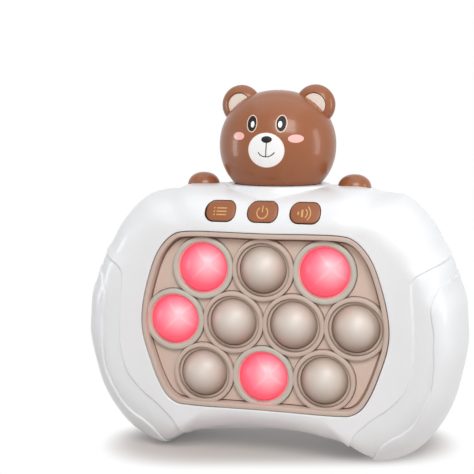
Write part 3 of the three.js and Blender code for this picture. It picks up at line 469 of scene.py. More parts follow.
def makeCasing():
    turns = rayAngles()
    whole = onLoop(outlineLoop, turns)
    atBody = np.minimum(whole, onLine(bodyLine, turns))
    underBody = onLine(shifted(bodyLine, -casing["bandUnderBody"]), turns)
    underGrip = np.minimum(onLine(shifted(gripLine, casing["bandUnderGrip"]), turns), whole)
    underGrip = np.where(np.isfinite(onLine(gripLine, turns)), underGrip, whole)
    edge = np.where(atBody < whole - 0.01, casing["edge"], casing["seamEdge"])

    window, bay = onLoop(windowLoop, turns), onLoop(doorLoop(battery["fit"]), turns)
    halves = ((-1, "front", window, casing["edge"]), (1, "rear", bay, casing["bayEdge"]))
    for side, name, opening, rimEdge in halves:
        outer = casingRows(side, turns, opening, atBody, edges=(rimEdge, edge))
        under = casingRows(side, turns, opening, atBody, -casing["skin"], 16)
        made = gridObject(name + "Body", wholeRound(closedSkin(outer, under)))
        cut(made, frontCutters() if side < 0 else rearCutters())
        dress(made, "casingWhite", stands=[name + "_shell"])

    span = spanOf(underBody < whole)
    for side, name in ((-1, "front"), (1, "rear")):
        rows = casingRows(side, turns[span], underBody[span], underGrip[span], -casing["bandRecess"], 40,
            start=casing["bandStart"])
        for hand, grid in (("Right", rows), ("Left", mirrored(rows))):
            band = gridObject(name + hand + "Band", grid, False)
            faceAway(band, (0, 0, gridHeight))
            thicken(band, casing["bandThick"], True)
            dress(band, "bandWhite")
    print("casing made")

    atGrip = onLine(shifted(gripLine, casing["gripGap"]), turns)
    span = spanOf(atGrip < whole)
    near, whole, turns = np.minimum(atGrip, whole)[span], whole[span], turns[span]
    skins = []
    for standOff, edge in ((0, casing["gripEdge"]), (-casing["skin"], 0)):
        front, rear = (casingRows(side, turns, near, whole, standOff, 44, 0, (edge, 0), casing["gripStart"])
            for side in (-1, 1))
        skins.append(np.concatenate([front, rear[::-1][1:]]))
    rows = closedSkin(*skins)
    rows[:, :, 2] = np.maximum(rows[:, :, 2], 0)
    for hand, grid in (("right", rows), ("left", mirrored(rows))):
        grip = gridObject(hand + "GripCover", grid, False)
        faceAway(grip, (0, 0, gridHeight))
        dress(grip, "gripWhite", stands=[hand + "_grip"])
    print("grips made")


def frontCutters():
    return [prism("keyCutter", keyLoop(x * button["pitch"], button["fit"], 8), -throughAll, -12)
            for x in (-1, 0, 1)]


# Battery door, bay and what is behind the casing

battery = {
    "bottom": 22.05, "top": 67.25, "halfWidth": 26.75, "thick": 1.8, "edge": 0.35, "fit": 0.35,
    "corner": 2.5, "screwHeight": 27.05, "bayHalf": 25.45, "bayBottom": 32.05, "bayTop": 65.95,
    "bayFloor": 9.5, "bayWall": 1.4, "bayFrame": 1.6, "ledge": 20.9, "cupEnd": 19, "cupRadius": 3.75,
    "cupBore": 1.55,
    "pocket": (4.2, 18.7, 30),  # radius and depths of the room for the cup
    "boss": [(1.7, 13.7), (5.8, 13.7), (5.8, 18.7), (1.7, 18.7), (1.7, 13.7)],
    "wellRadius": 2.75, "wellEnd": 20.5, "caseWellEnd": 7, "tabAcross": 14, "tabHalf": 3,
    "thumbRibs": (35, 2.2, 7, 1.2),  # lowest one's height, pitch, half length and how much each is shorter
    "bayRibs": (43.45, 54.55), "screws": ((-55, 98.9), (55, 98.9), (-55, 21.35), (55, 21.35)),
    "tube": [(1.6, 6), (4.2, 6), (4.2, 21), (2.75, 21), (2.75, 7), (1.6, 7), (1.6, 6)],
    "speakerHeight": 88, "slotPitch": 4.2,
}


def doorLoop(extra):
    half = (battery["top"] - battery["bottom"]) / 2
    loop = roundedBox(battery["halfWidth"] + extra, half + extra, battery["corner"])
    return evenly(loop + (0, battery["bottom"] + half), 240)


def rearCutters():
    cutters = [cylinder("wellCutter", battery["wellRadius"], battery["caseWellEnd"], throughAll, place)
        for place in battery["screws"]]
    for i in range(-2, 3):
        loop = roundedBox(9, 0.8, 0.79, 5) + (0, battery["speakerHeight"] + battery["slotPitch"] * i)
        cutters.append(prism("slotCutter", loop, 10, throughAll))
    return cutters


def makeDoor():
    depth, screwPlace = casing["rearDepth"], (0, battery["screwHeight"])
    turns = np.radians(np.arange(-90, 90.01, 1))
    edge = onLoop(doorLoop(0), turns)
    middle = np.full(len(turns), 0.01)
    outer = casingRows(1, turns, middle, edge, rings=24, edges=(0, battery["edge"]))
    under = casingRows(1, turns, middle, edge, -battery["thick"], 12)
    plate = gridObject("batteryDoor", wholeRound(np.concatenate([outer, under[::-1]])), caps=(True, True))
    bore, cup, well, cupEnd, wellEnd = pick(battery, "cupBore cupRadius wellRadius cupEnd wellEnd")
    cut(plate, [cylinder("wellCutter", well, wellEnd, throughAll, screwPlace)])
    dress(plate, "casingWhite", "door", ["battery_door"])
    profile = [(bore, cupEnd), (cup, cupEnd), (cup, depth - 1), (well, depth - 1), (well, wellEnd),
        (bore, wellEnd), (bore, cupEnd)]
    pieces = [turned("doorScrewCup", profile, screwPlace, 64)]
    for side, hand in ((-1, "Left"), (1, "Right")):
        across, top, half = side * battery["tabAcross"], battery["top"], battery["tabHalf"]
        tab = prism("doorTab" + hand, roundedBox(half, 2.2, 0.6, 4) + (across, top - 0.35), 19, 20.3)
        roundEdges(tab, 0.2)
        root = prism("doorTabRoot" + hand, roundedBox(half, 1.2, 0.3, 3) + (across, top - 1.35), 20, 21.4)
        pieces += [tab, root]
    lowest, pitch, longest, shorter = battery["thumbRibs"]
    for i in range(3):
        loop = roundedBox(longest - shorter * i, 0.45, 0.44, 4) + (0, lowest + pitch * i)
        pieces.append(prism(f"doorRib{i + 1}", loop, depth - 0.3, depth))
    for piece in pieces:
        dress(piece, "casingWhite", "door")
    print("battery door made")


def makeBay():
    low, high, floor, ledge = pick(battery, "bayBottom bayTop bayFloor ledge")
    bottom, top, around = pick(battery, "bottom top bayFrame")
    screwPlace = (0, battery["screwHeight"])
    box = roundedBox(battery["bayHalf"], (high - low) / 2, 1.2, 4) + (0, (low + high) / 2)
    rim = roundedBox(battery["halfWidth"] + around, (top - bottom) / 2 + around, 3, 4)
    rim = rim + (0, (top + bottom) / 2)
    bay = gridObject("batteryBay", [atDepth(rim, ledge), atDepth(box, ledge), atDepth(box, floor)],
        caps=(False, True))
    faceAway(bay, (0, 60, (low + high) / 2))
    bay.data.flip_normals()
    thicken(bay, battery["bayWall"])
    cut(bay, [cylinder("pocketCutter", *battery["pocket"], screwPlace)])
    ribs = [prism(f"bayRib{i + 1}", roundedBox(17, 0.7, 0.5, 3) + (0, z), floor - 0.5, floor + 1.6)
        for i, z in enumerate(battery["bayRibs"])]
    for piece in (bay, turned("doorScrewBoss", battery["boss"], screwPlace, 48), *ribs):
        dress(piece, "bayDark")
    for i, place in enumerate(battery["screws"]):  # the tube that each case screw sits in
        dress(turned(f"screwTube{i + 1}", battery["tube"], place, 48), "casingWhite")
    print("battery bay made")


screw = {
    "head": [(0, 1.6), (1.5, 1.55), (2.1, 1.3), (2.35, 0.8), (2.35, 0)],  # radius, height over its seat
    "slot": (1.4, 0.3), "slotFloor": 0.8,
    "caseShank": (1.2, 7.3, -5.7),  # radius, depth of the seat and of the tip
    "doorShank": (1.1, 20.8, 15.7),
}


def makeScrew(name, node, place, shank, body):
    radius, seat, tip = screw[shank]
    profile = [(r, seat + up) for r, up in screw["head"]]
    made = turned(name, profile + [(radius, seat), (radius, tip + 1), (0.3, tip), (0, tip)], place, 48)
    cut(made, [prism("slotCutter", roundedBox(*size, 0.1, 2) + place, seat + screw["slotFloor"], seat + 3)
        for size in (screw["slot"], screw["slot"][::-1])])
    dress(made, "steel", body, [node], 30)


# Tray and bubbles

tray = {
    "halfWidth": 55.2, "halfHeight": 39.05, "lift": 0.9,
    "outline": [
        (0, 1), (0.62, 1), (0.7, 0.975), (0.775, 0.9), (0.86, 0.74), (0.935, 0.46), (0.985, 0.17),
        (1, -0.05), (0.985, -0.24), (0.94, -0.46), (0.865, -0.74), (0.79, -0.91), (0.71, -0.985),
        (0.62, -1), (0, -1),
    ],
    "fit": 0.35, "rimDepth": 27.6, "rimWidth": 2,
    "rimEdge": ((0, 0.35), (0.1, 0.1), (0.35, 0)),  # inset and drop
    "gutterDepth": 1, "gutterWidth": 0.6,
    "gutterGrowth": 0.8,  # how much wider it is at the top and the right, where its painted shadow under the rim is widest
    "floorDepth": 23.4, "ringOuter": 13.7, "ringGap": 0.3, "ringInner": 11.8, "ringDepth": 25.4,
    "ringShift": 0.004,  # between the tops of rings that overlap
    "ringFall": ((0, 0.5), (-0.12, 0.18), (-0.4, 0)),  # offsets from the outer edge of a ring's top
    "ringStep": ((0.08, 0.1), (0, 0.3)),  # from its inner edge
    "ledgeStep": ((0, 0.8), (-0.28, 0.8), (-0.28, 0.06), (-0.34, 0)),  # from there down on the ledge
    "holeStep": ((0.1, 0), (0.03, 0.04), (0, 0.15)),  # from the hole's edge on the ledge
    "holeSlope": ((0.5, -0.12), (0.34, 0), (0, 0)),
    # a thin strip of painted light spilled onto the ledge round a lit dome
    "spill": ((0.01, 1), (0.01, -0.03), (0.36, -0.03), (0.36, 0.1), (0.1, 0.1), (0.1, 1), (0.01, 1)),
    "ledgeDepth": 23.9, "back": 21.2, "pitch": 27, "rowPitch": 23.706,
}

windowHalf = np.array(tray["outline"]) * pick(tray, "halfWidth halfHeight")
windowHalf = windowHalf + (0, gridHeight + tray["lift"])
windowLoop = evenly(throughPoints(fullLoop(windowHalf), True), 360)


def bubblePlaces():
    rows = ((1, (-1, 0, 1)), (0, (-1.5, -0.5, 0.5, 1.5)), (-1, (-1, 0, 1)))
    return [(c * tray["pitch"], gridHeight + r * tray["rowPitch"]) for r, columns in rows for c in columns]


def makeTray():
    outer = windowLoop - outward(windowLoop) * tray["fit"]
    out = outward(outer)
    back, floorDepth, inside = -tray["back"], -tray["floorDepth"], tray["rimWidth"]
    edge = [(inset, drop - tray["rimDepth"]) for inset, drop in tray["rimEdge"]]
    rim = [(0, back)] + edge + [(inside - inset, y) for inset, y in edge[::-1]] + [(inside, back)]
    growth = tray["gutterGrowth"]
    wide = (tray["gutterWidth"] + growth * np.clip(np.maximum(out[:, 1], growth * out[:, 0]), 0, 1))[:, None]
    gutter = floorDepth + tray["gutterDepth"]
    deep = [(inside + 0.03, gutter - 0.7), (inside + 0.03, gutter), (inside + wide, gutter)]
    # the gutter is a real groove; its brown finish is painted shadow under the rim
    for name, profile, look in (("trayRim", rim, "trayBeige"), ("trayGutter", deep, "paintedGutterShade")):
        made = gridObject(name, [atDepth(outer - out * inset, y) for inset, y in profile])
        faceAway(made, (0, 400, gridHeight))
        dress(made, look, stands=["bubble_panel"] * (name == "trayRim"), sharp=50)
    floor = prism("trayFloor", outer - out * (inside + wide - 0.1), floorDepth, back)
    room = tray["ringOuter"] + tray["ringGap"]
    cut(floor, [cylinder("ringCutter", room, -30, 0, place, 96) for place in bubblePlaces()])
    # the floor gets a paler copy of the tray colour, painted light against the shade in its recess
    dress(floor, "trayFloorPaintedLight")
    print("tray made")


def makeRings():
    back, top, ledge = -tray["back"], -tray["ringDepth"], -tray["ledgeDepth"]
    outer, inner, hole = tray["ringOuter"], tray["ringInner"], bubble["radius"] + bubble["gap"]

    def near(radius, depth, offsets):
        return [(radius + r, depth + y) for r, y in offsets]

    wall = [(outer, back), (outer, -tray["floorDepth"])] + near(outer, top, tray["ringFall"])
    wall.append((inner + 0.28, top))
    step = near(inner, top, tray["ringStep"]) + near(inner, ledge, tray["ledgeStep"])
    step += near(hole, ledge, tray["holeStep"])
    slope = [(inner - 0.1, top + 0.12)] + near(hole, ledge, tray["holeSlope"])
    spill = near(hole, ledge, tray["spill"])
    for i, place in enumerate(bubblePlaces()):
        shift = tray["ringShift"] * (i % 3)
        lit = i + 1 in bubble["lit"]
        ring = wall + (slope if lit else step) + [(hole, back), (outer, back)]
        made = turned(f"bubbleRing{i + 1:02d}", [(r, y + shift) for r, y in ring], place, 128)
        # rings round lit bubbles get a greyer copy of the tray colour, painted light of the glow beside them
        dress(made, "paintedGlowTintRing" if lit else "trayBeige", sharp=60)
        # a pink strip on the ledge, glowing as painted light spilled from the lit dome
        if lit:
            dress(turned(f"lightSpill{i + 1:02d}", spill, place), "ledgePink", sharp=60)
    print("rings made")


bubble = {
    "radius": 10.4, "gap": 0.08, "rise": 7.1, "wall": 1.3, "flange": 12.2, "flangeFront": 20.9,
    "flangeBack": 19.7, "skirtEnd": 18.7, "grain": 0.04, "paintedHighlightDepth": 30, "lit": (1, 3, 4, 9),
}
# lit domes glow for the LED inside; their white spot and four rays are painted highlight
litLook = {
    "name": "litDome", "slot": "bubble_lit",
    "foot": 10.38,  # radius of the dome inside the flat at its edge
    "colour": "F4506A",
    "roughness": (0.42, 0.1, 0.1),  # of the plastic, weight and roughness of its gloss
    "glow": 0.5,
    "paintedHighlightSpot": (4, 2.9),  # where the painted highlight sits, right of and above the dome's middle
    "reach": 13.5,
    "steps": ((0, "F9455F"), (0.25, "FB6377"), (0.5, "FCA2AA"), (0.74, "FDDADB"), (1, "FFF8F7")),
    "paintedRayWidth": 0.1, "paintedRayTone": 0.24,
}
# plain domes: the steps paint a highlight near the top that fades to painted shade at the edge
plainLook = {
    "name": "plainDome", "slot": "bubble_beige", "foot": 10.15, "colour": "C3B2A6",
    "roughness": (0.42, 0.5, 0.5), "glow": 0, "paintedHighlightSpot": (1.2, 2.2), "reach": 12.5,
    "steps": ((0, "9A8375"), (0.22, "B9A698"), (0.5, "CFC0B4"), (0.95, "E6DDD3")),
}


def makeBubbles():
    rise, radius, wall, flange = pick(bubble, "rise radius wall flange")
    front, behind, end = (-depth for depth in pick(bubble, "flangeFront flangeBack skirtEnd"))
    ledge = -tray["ledgeDepth"]

    def cap(foot, inset, steps):  # from the middle to the foot, on a sphere or inset inside it
        sphere = (foot**2 + rise**2) / (2 * rise)
        centre = ledge - rise + sphere
        inner = sphere - inset
        edge = asin((foot - inset) / inner)
        return [(inner * sin(edge * k / steps), centre - inner * cos(edge * k / steps))
            for k in range(steps + 1)]

    back = [(radius, front), (flange, front), (flange, behind), (radius, behind), (radius, end)]
    back += [(radius - wall, end)] + cap(radius, wall, 10)[::-1]
    for i, (x, z) in enumerate(bubblePlaces()):
        look = litLook if i + 1 in bubble["lit"] else plainLook
        foot = look["foot"]
        brim = [(foot + 0.03, ledge + 0.25), ((foot + radius) / 2, ledge + 0.42),
            (radius - 0.02, ledge + 0.46), (radius, ledge + 0.6)]
        made = turned(f"popBubble{i + 1:02d}", cap(foot, 0, 24) + brim + back, (x, z))
        node = f"bubble_{i + 1:02d}"
        domeName = look["name"] + f"{i + 1:02d}"
        domeFinish(domeName, x, z, look)
        dress(made, domeName, node, [node], 50)
    print("bubbles made")


def domeFinish(name, x, z, look):  # a dome painted palest at one spot as a highlight and darker at its edge as shade, or glowing for its LED with a painted white spot and four painted rays
    roughness, coat, coatRoughness = look["roughness"]
    moulded(name, look["slot"], look["colour"], roughness, coat, bubble["grain"], coatRoughness=coatRoughness)
    tree = finish[name].node_tree
    across, up = look["paintedHighlightSpot"]
    hot = mm([(x + across, -bubble["paintedHighlightDepth"], z + up)])[0]
    reach = look["reach"]
    place = addNode(tree, "TexCoord")["Object"]
    shift = [-v * 1000 / reach for v in hot]
    mapping = {"Vector": place, "Location": shift, "Scale": [1000 / reach] * 3}
    away = addNode(tree, "Mapping", mapping)["Vector"]
    fall = addNode(tree, "TexGradient", {"Vector": away}, gradient_type="SPHERICAL")["Fac"]
    ramp = tree.nodes.new("ShaderNodeValToRGB")
    stops = ramp.color_ramp.elements
    stops[1].position = look["steps"][-1][0]
    for at, colour in look["steps"][1:-1]:
        stops.new(at)
    for stop, (at, colour) in zip(stops, look["steps"]):
        stop.color = (*linear(colour), 1)
    if look["glow"]:
        parts = addNode(tree, "SeparateXYZ", {"Vector": away})
        rays = []
        for operation in ("SUBTRACT", "ADD"):
            off = calc(tree, "ABSOLUTE", calc(tree, operation, parts["X"], parts["Z"]))
            share = calc(tree, "SUBTRACT", 1, calc(tree, "DIVIDE", off, look["paintedRayWidth"]))
            rays.append(calc(tree, "MAXIMUM", share, 0))
        bright = calc(tree, "MULTIPLY", fall, look["paintedRayTone"])
        fall = calc(tree, "ADD", fall, calc(tree, "MULTIPLY", calc(tree, "MAXIMUM", *rays), bright))
    fill(tree, ramp, {"Fac": fall})
    coloured = "Emission Color" if look["glow"] else "Base Color"
    shade(name, {coloured: ramp.outputs["Color"], "Emission Strength": look["glow"]})


# Decals: thin shapes that lie on a curved surface given as depth(x, z)

decal = {"thick": 1.6, "lineSteps": 8, "endSteps": 9}  # thickness as a share of how far it stands off


def spot(name, centre, halfSize, surface, look, body="casing", lift=0.05, rings=10, sides=72, dome=0):
    turn = fullTurn(sides)
    rows = []
    for share in np.arange(rings + 1) / rings:
        x = centre[0] + halfSize[0] * share * np.cos(turn)
        z = centre[1] + halfSize[1] * share * np.sin(turn)
        rows.append(joined(x, surface(x, z) - lift - dome * sqrt(max(1 - share**2, 0)), z))
    rows.append(rows[-1] + (0, lift * decal["thick"], 0))
    made = gridObject(name, rows)
    faceAway(made, (centre[0], 500, centre[1]))
    dress(made, look, body, sharp=60)


def ribbon(name, path, width, surface, look, body="casing", lift=0.06):  # a line with round ends
    path = np.asarray(path, float)
    steps = decal["lineSteps"]
    dense = throughPoints(path, steps=steps) if len(path) > 2 else np.linspace(path[0], path[1], steps)
    along = np.gradient(dense, axis=0)
    along /= np.linalg.norm(along, axis=1)[:, None]
    out = np.stack([-along[:, 1], along[:, 0]], 1)
    sweep = np.linspace(0, pi, decal["endSteps"])[1:-1]
    loop = list(dense + out * width / 2)
    loop += [dense[-1] + (out[-1] * cos(a) + along[-1] * sin(a)) * width / 2 for a in sweep]
    loop += list((dense - out * width / 2)[::-1])
    loop += [dense[0] - (out[0] * cos(a) + along[0] * sin(a)) * width / 2 for a in sweep]
    loop = np.array(loop)
    n, m, total = len(dense), len(sweep), len(loop)
    top = atDepth(loop, surface(loop[:, 0], loop[:, 1]) - lift)
    low = top + (0, lift * decal["thick"], 0)
    faces = [(k, k + 1, 2 * n + m - 2 - k, 2 * n + m - 1 - k) for k in range(n - 1)]
    faces.append(tuple(range(n - 1, n + m + 1)))
    faces.append((0, *range(2 * n + m - 1, total)))
    faces += [(k, (k + 1) % total, total + (k + 1) % total, total + k) for k in range(total)]
    made = newObject(name, np.vstack([top, low]), faces)
    tidyMesh(made)
    faceAway(made, (path[0][0], 500, path[0][1]))
    dress(made, look, body, sharp=40)


# Buttons

button = {
    "halfWidth": 6.6, "halfHeight": 4.15, "corner": 3.7, "height": crestHeight - 9.4, "pitch": 18.7,
    "face": 24.8, "tilt": 0.5, "back": 19.8, "fit": 0.3, "edge": 0.7, "crown": 0.35, "wellBack": 14,
    "wellDrop": 0.35,
}


def arc(x, z, radius, first, last, count, squash=1):  # angles clockwise from straight up
    turns = np.radians(np.linspace(first, last, count))
    return [(x + radius * sin(a), z + squash * radius * cos(a)) for a in turns]


strokes = {  # the icons: button, width and points from the button's middle
    "menuBar1": ("menu", 0.5, [(-1.4, 1.35), (2.6, 1.35)]),
    "menuBar2": ("menu", 0.5, [(-1.4, 0), (2.6, 0)]),
    "menuBar3": ("menu", 0.5, [(-1.4, -1.35), (2.6, -1.35)]),
    "powerArc": ("power", 0.5, arc(0, -0.15, 2.35, 40, 320, 15)),
    "powerBar": ("power", 0.5, [(0, 2.5), (0, 0.2)]),
    "soundPost": ("sound", 0.7, [(-3, -0.35), (-3, 0.35)]),
    "soundCone": ("sound", 0.9, [(-1.3, -1.1), (-1.3, 1.1)]),
    "soundArc1": ("sound", 0.45, arc(-1.3, 0, 2.2, 138, 42, 9, 0.95)),
    "soundArc2": ("sound", 0.45, arc(-1.3, 0, 3.6, 138, 42, 9, 0.95)),
}
menuDots = {"across": -2.7, "up": (1.35, 0, -1.35), "radius": 0.32}


def keyLoop(x, extra=0, steps=12):  # a button's outline, made larger
    sizes = (size + extra for size in pick(button, "halfWidth halfHeight corner"))
    return roundedBox(*sizes, steps) + (x, button["height"])


def keyFace(x0):  # depth of a button's sloping, slightly crowned face
    def depth(x, z):
        u = (x - x0) / button["halfWidth"]
        v = (z - button["height"]) / button["halfHeight"]
        crown = button["crown"] * (np.clip(1 - u**2, 0, 1) * np.clip(1 - v**2, 0, 1) - 0.4)
        return -button["face"] + (z - button["height"]) * tan(button["tilt"]) - crown
    return depth


def makeButton(name, x):
    surface = keyFace(x)
    centre = np.array([x, button["height"]])
    loop = keyLoop(x) - centre
    inset = outward(loop) * button["edge"]
    rows = [atDepth(loop + centre, -button["back"])]
    for turn in np.radians(np.linspace(0, 90, 7)):  # rounded edge
        ring = loop - inset * (1 - cos(turn)) + centre
        rows.append(atDepth(ring, surface(*ring.T) + button["edge"] * (1 - sin(turn))))
    for share in (0.85, 0.7, 0.5, 0.25, 0):
        ring = (loop - inset) * share + centre
        rows.append(atDepth(ring, surface(*ring.T)))
    node = name + "_button"
    dress(gridObject(name + "Cap", rows), "buttonBrown", node, [node], 60)
    loop = keyLoop(x, button["fit"] - 0.03)  # the well in the gap round it, dark brown as painted shade
    depths = (-button["wellBack"], casingDepth(*loop.T) + button["wellDrop"])
    dress(gridObject(name + "KeyWell", [atDepth(loop, y) for y in depths]), "paintedGapShade")


def makeButtons():
    height = button["height"]
    columns = {"menu": -button["pitch"], "power": 0, "sound": button["pitch"]}
    for name, x in columns.items():
        makeButton(name, x)
    for name, (key, width, path) in strokes.items():
        x = columns[key]
        ribbon(name, np.array(path) + (x, height), width, keyFace(x), "iconGold", key + "_button")
    x, radius = columns["menu"], menuDots["radius"]
    for i, up in enumerate(menuDots["up"]):
        place = (x + menuDots["across"], height + up)
        spot(f"menuDot{i + 1}", place, (radius, radius), keyFace(x), "iconGold", "menu_button", 0.04, 3, 20)
    print("buttons made")


# Bear's head, ears and paws

hands = ((-1, "left"), (1, "right"))
head = {
    "halfWidth": 26.3, "halfDepth": 22.6, "rise": 24.5, "height": crestHeight + 17.8, "setBack": 3,
    "power": 2.1, "bottom": crestHeight + 1, "wall": 2, "seam": 0.1, "edge": 0.18, "columns": 97,
    "rows": 72,
}


def headFront(x, z):  # depth of the head's front surface
    u = np.abs(x) / head["halfWidth"]
    v = np.abs(z - head["height"]) / head["rise"]
    ring = np.clip(1 - v ** head["power"], 0, 1) ** (1 / head["power"])
    return head["setBack"] - head["halfDepth"] * np.sqrt(np.clip(ring**2 - u**2, 0, None))


def headHalf(side, name, node):
    power, seam = head["power"], head["seam"]
    low = (head["bottom"] - head["height"]) / head["rise"]
    lowTurn = -asin(abs(low) ** (power / 2))
    around = np.linspace(0, pi, head["columns"])
    rows = []
    for turn in np.linspace(lowTurn, pi / 2, head["rows"]):
        r = max(cos(turn), 0) ** (2 / power)
        z = head["height"] + head["rise"] * copysign(abs(sin(turn)) ** (2 / power), turn)
        y = head["setBack"] + side * (seam + (head["halfDepth"] - seam) * r * np.sin(around))
        rows.append(joined(head["halfWidth"] * r * np.cos(around), y, z))
    made = gridObject(name, rows, False)
    faceAway(made, (0, head["setBack"], head["height"]))
    thicken(made, head["wall"], True)
    roundEdges(made, head["edge"], 50, 2)
    dress(made, "bearBrown", stands=[node], sharp=50)


paint = {  # place across, and up from the head's widest level, half size, look, how far it stands off
    "leftEyeRim": ((-6.5, 10.2), (2.47, 3.72), "paintCream", 0.03),
    "leftEye": ((-6.5, 10.2), (2.05, 3.3), "paintBlack", 0.06),
    "leftEyeShine": ((-6.15, 9.9), (0.85, 1.35), "paintWhite", 0.09),
    "rightEyeRim": ((6.5, 10.2), (2.47, 3.72), "paintCream", 0.03),
    "rightEye": ((6.5, 10.2), (2.05, 3.3), "paintBlack", 0.06),
    "rightEyeShine": ((6, 9.9), (0.85, 1.35), "paintWhite", 0.09),
    "leftCheek": ((-12.6, 4.8), (2.75, 1.7), "paintPink", 0.04),
    "rightCheek": ((12.7, 3.8), (3.15, 1.75), "paintPink", 0.04),
    "muzzleRim": ((0.2, -1.1), (8.05, 7.5), "paintCream", 0.03, 14, 96),
    "muzzle": ((0.2, -1.1), (7.8, 7.3), "paintWhite", 0.06, 14, 96),
    "nose": ((0.5, 3.5), (2.35, 1.45), "paintBlack", 0.08, 10, 72, 0.35),
}
mouth = {
    "noseLine": [(0.5, 2.2), (0.3, -1), (0.1, -3.9)],
    "smile": [(-3.1, -2.1), (-2.4, -3), (-1.5, -3.6), (0.1, -3.9), (1.5, -3.75), (2.6, -3.2), (3.9, -2.1)],
}


def makeHead():
    headHalf(-1, "bearFace", "head_front")
    headHalf(1, "bearBack", "head_rear")
    for name, ((x, up), size, look, *more) in paint.items():
        spot(name, (x, head["height"] + up), size, headFront, look, "casing", *more)
    for name, path in mouth.items():
        ribbon(name, np.array(path) + (0, head["height"]), 0.4, headFront, "paintBlack", lift=0.1)
    print("head made")


ear = {
    "across": 16.9, "height": crestHeight + 35.6, "radius": 9, "halfDepth": 5.6, "middle": 4,
    "edge": 0.5, "dish": 6.1, "dishDepth": 3.4,
    "dishMeet": 5.67,  # where the dish reaches the ear's own surface
    "pale": 5.35, "paleFront": 0.35, "paleRise": 0.25,
}


def makeEars():
    front, meet, pale = ear["middle"] - ear["halfDepth"], ear["dishMeet"], ear["pale"]
    radii = meet * np.sin(np.radians(np.arange(0, 91, 9)))
    shellProfile = [(r, front + ear["dishDepth"] * sqrt(1 - (r / ear["dish"]) ** 2)) for r in radii]
    shellProfile += [(ear["radius"] * sin(a), ear["middle"] - ear["halfDepth"] * cos(a))
        for a in np.linspace(asin(meet / ear["radius"]), pi, 44)]
    paleProfile = [(pale * sin(a), ear["paleFront"] - ear["paleRise"] * cos(a))
        for a in np.radians(np.arange(0, 91, 10))] + [(pale, 0.9), (0, 1)]
    for side, hand in hands:
        place = (side * ear["across"], ear["height"])
        shell = turned(hand + "EarShell", shellProfile, place)
        roundEdges(shell, ear["edge"], 40, 4)
        dress(shell, "bearBrown", stands=[hand + "_ear"], sharp=60)
        inner = turned(hand + "EarPale", paleProfile, place, 72)
        dress(inner, "earCream", stands=[hand + "_ear_inner"], sharp=60)
    print("ears made")


paw = {
    "across": 34.9, "height": crestHeight - 0.6, "halfWidth": 7.4, "halfDepth": 7, "rise": 5.8,
    "foot": 1.5, "power": 0.92,
}


def makePaws():
    turn = fullTurn(72)
    for side, hand in hands:
        rows = []
        for up in np.radians(np.linspace(0, 90, 25)):
            r = max(cos(up), 0) ** paw["power"]
            x = side * paw["across"] + paw["halfWidth"] * r * np.cos(turn)
            y = head["setBack"] + paw["halfDepth"] * r * np.sin(turn)
            rows.append(joined(x, y, paw["height"] + paw["rise"] * sin(up)))
        rows.insert(0, rows[0] - (0, 0, paw["foot"]))
        dress(gridObject(hand + "BearPaw", rows), "bearBrown", stands=[hand + "_paw"], sharp=60)
    print("paws made")


collar = {
    "halfWidth": 24.2, "halfDepth": 19.2, "top": crestHeight + 0.7, "drop": 5.6, "flare": 3.2,
    "lip": [(-9.2, 0), (-1.6, 0), (-0.8, 0.06), (-0.35, 0.22), (0, 0.5)],  # spread and drop
    "flareSteps": 14, "flarePower": 1.7, "sideSpread": 1.2, "rearSpread": 0.25, "rearPower": 0.8,
    "rearLimit": 22.95, "rearDrop": 6.5,
}


def makeCollar():
    turn = fullTurn(144)
    lipDrop, drops = collar["lip"][-1][1], collar["flareSteps"]
    steps = collar["lip"] + [(collar["flare"] * (k / drops) ** collar["flarePower"],
        lipDrop + (collar["drop"] - lipDrop) * k / drops) for k in range(1, drops + 1)]
    rows = []
    # behind, it reaches further down to meet the casing
    back = np.clip(np.sin(turn), 0, 1) ** collar["rearPower"]
    for spread, drop in steps:
        x = (collar["halfWidth"] + spread * collar["sideSpread"]) * np.cos(turn)
        y = (collar["halfDepth"] + spread * (1 - (1 - collar["rearSpread"]) * back)) * np.sin(turn)
        z = collar["top"] - drop * (1 + back * collar["rearDrop"] / collar["drop"])
        rows.append(joined(x, np.minimum(head["setBack"] + y, collar["rearLimit"]), z))
    made = gridObject("neckCollar", rows)
    faceAway(made, (0, 0, 90))
    dress(made, "casingWhite", sharp=50)
    print("collar made")


# Pieces inside that keep the frame's own shape


def dressInside():
    insides = {
        "board": "main_board button_board",
        "rubberGrey": "contact_mat",
        "darkPlastic": "control_chip speaker menu_switch power_switch sound_switch",
        "ledClear": " ".join(f"led_{i:02d}" for i in range(1, 11)),
        "steel": "battery_contact_left battery_contact_right",
        "wireRed": "battery_lead_left battery_lead_right speaker_lead_left speaker_lead_right",
    }
    for look, nodes in insides.items():
        for node in nodes.split():
            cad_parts[node].data.materials.clear()
            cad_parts[node].data.materials.append(finish[look])
    print("inner pieces dressed")


cell = {
    "places": ((60.1, 1), (49, -1), (37.9, 1)),  # height, and which way its button end points
    "depth": 15.35,
    "profile": [  # radius and distance along it, from the flat end to the button
        (0, -22.25), (4.6, -22.25), (5.15, -21.9), (5.25, -21.4), (5.25, 21.4), (5, 21.9), (4.4, 22.1),
        (1.9, 22.1), (1.9, 23), (1.6, 23.15), (0, 23.15),
    ],
}


def makeCells():
    turn = fullTurn(48)
    for i, (height, way) in enumerate(cell["places"]):
        rows = [joined(x * way, cell["depth"] + r * np.cos(turn), height + r * np.sin(turn))
            for r, x in cell["profile"]]
        dress(gridObject(f"cell{i + 1}", rows), "cellJacket", stands=[f"battery_{i + 1}"])
    print("cells made")


# Stage

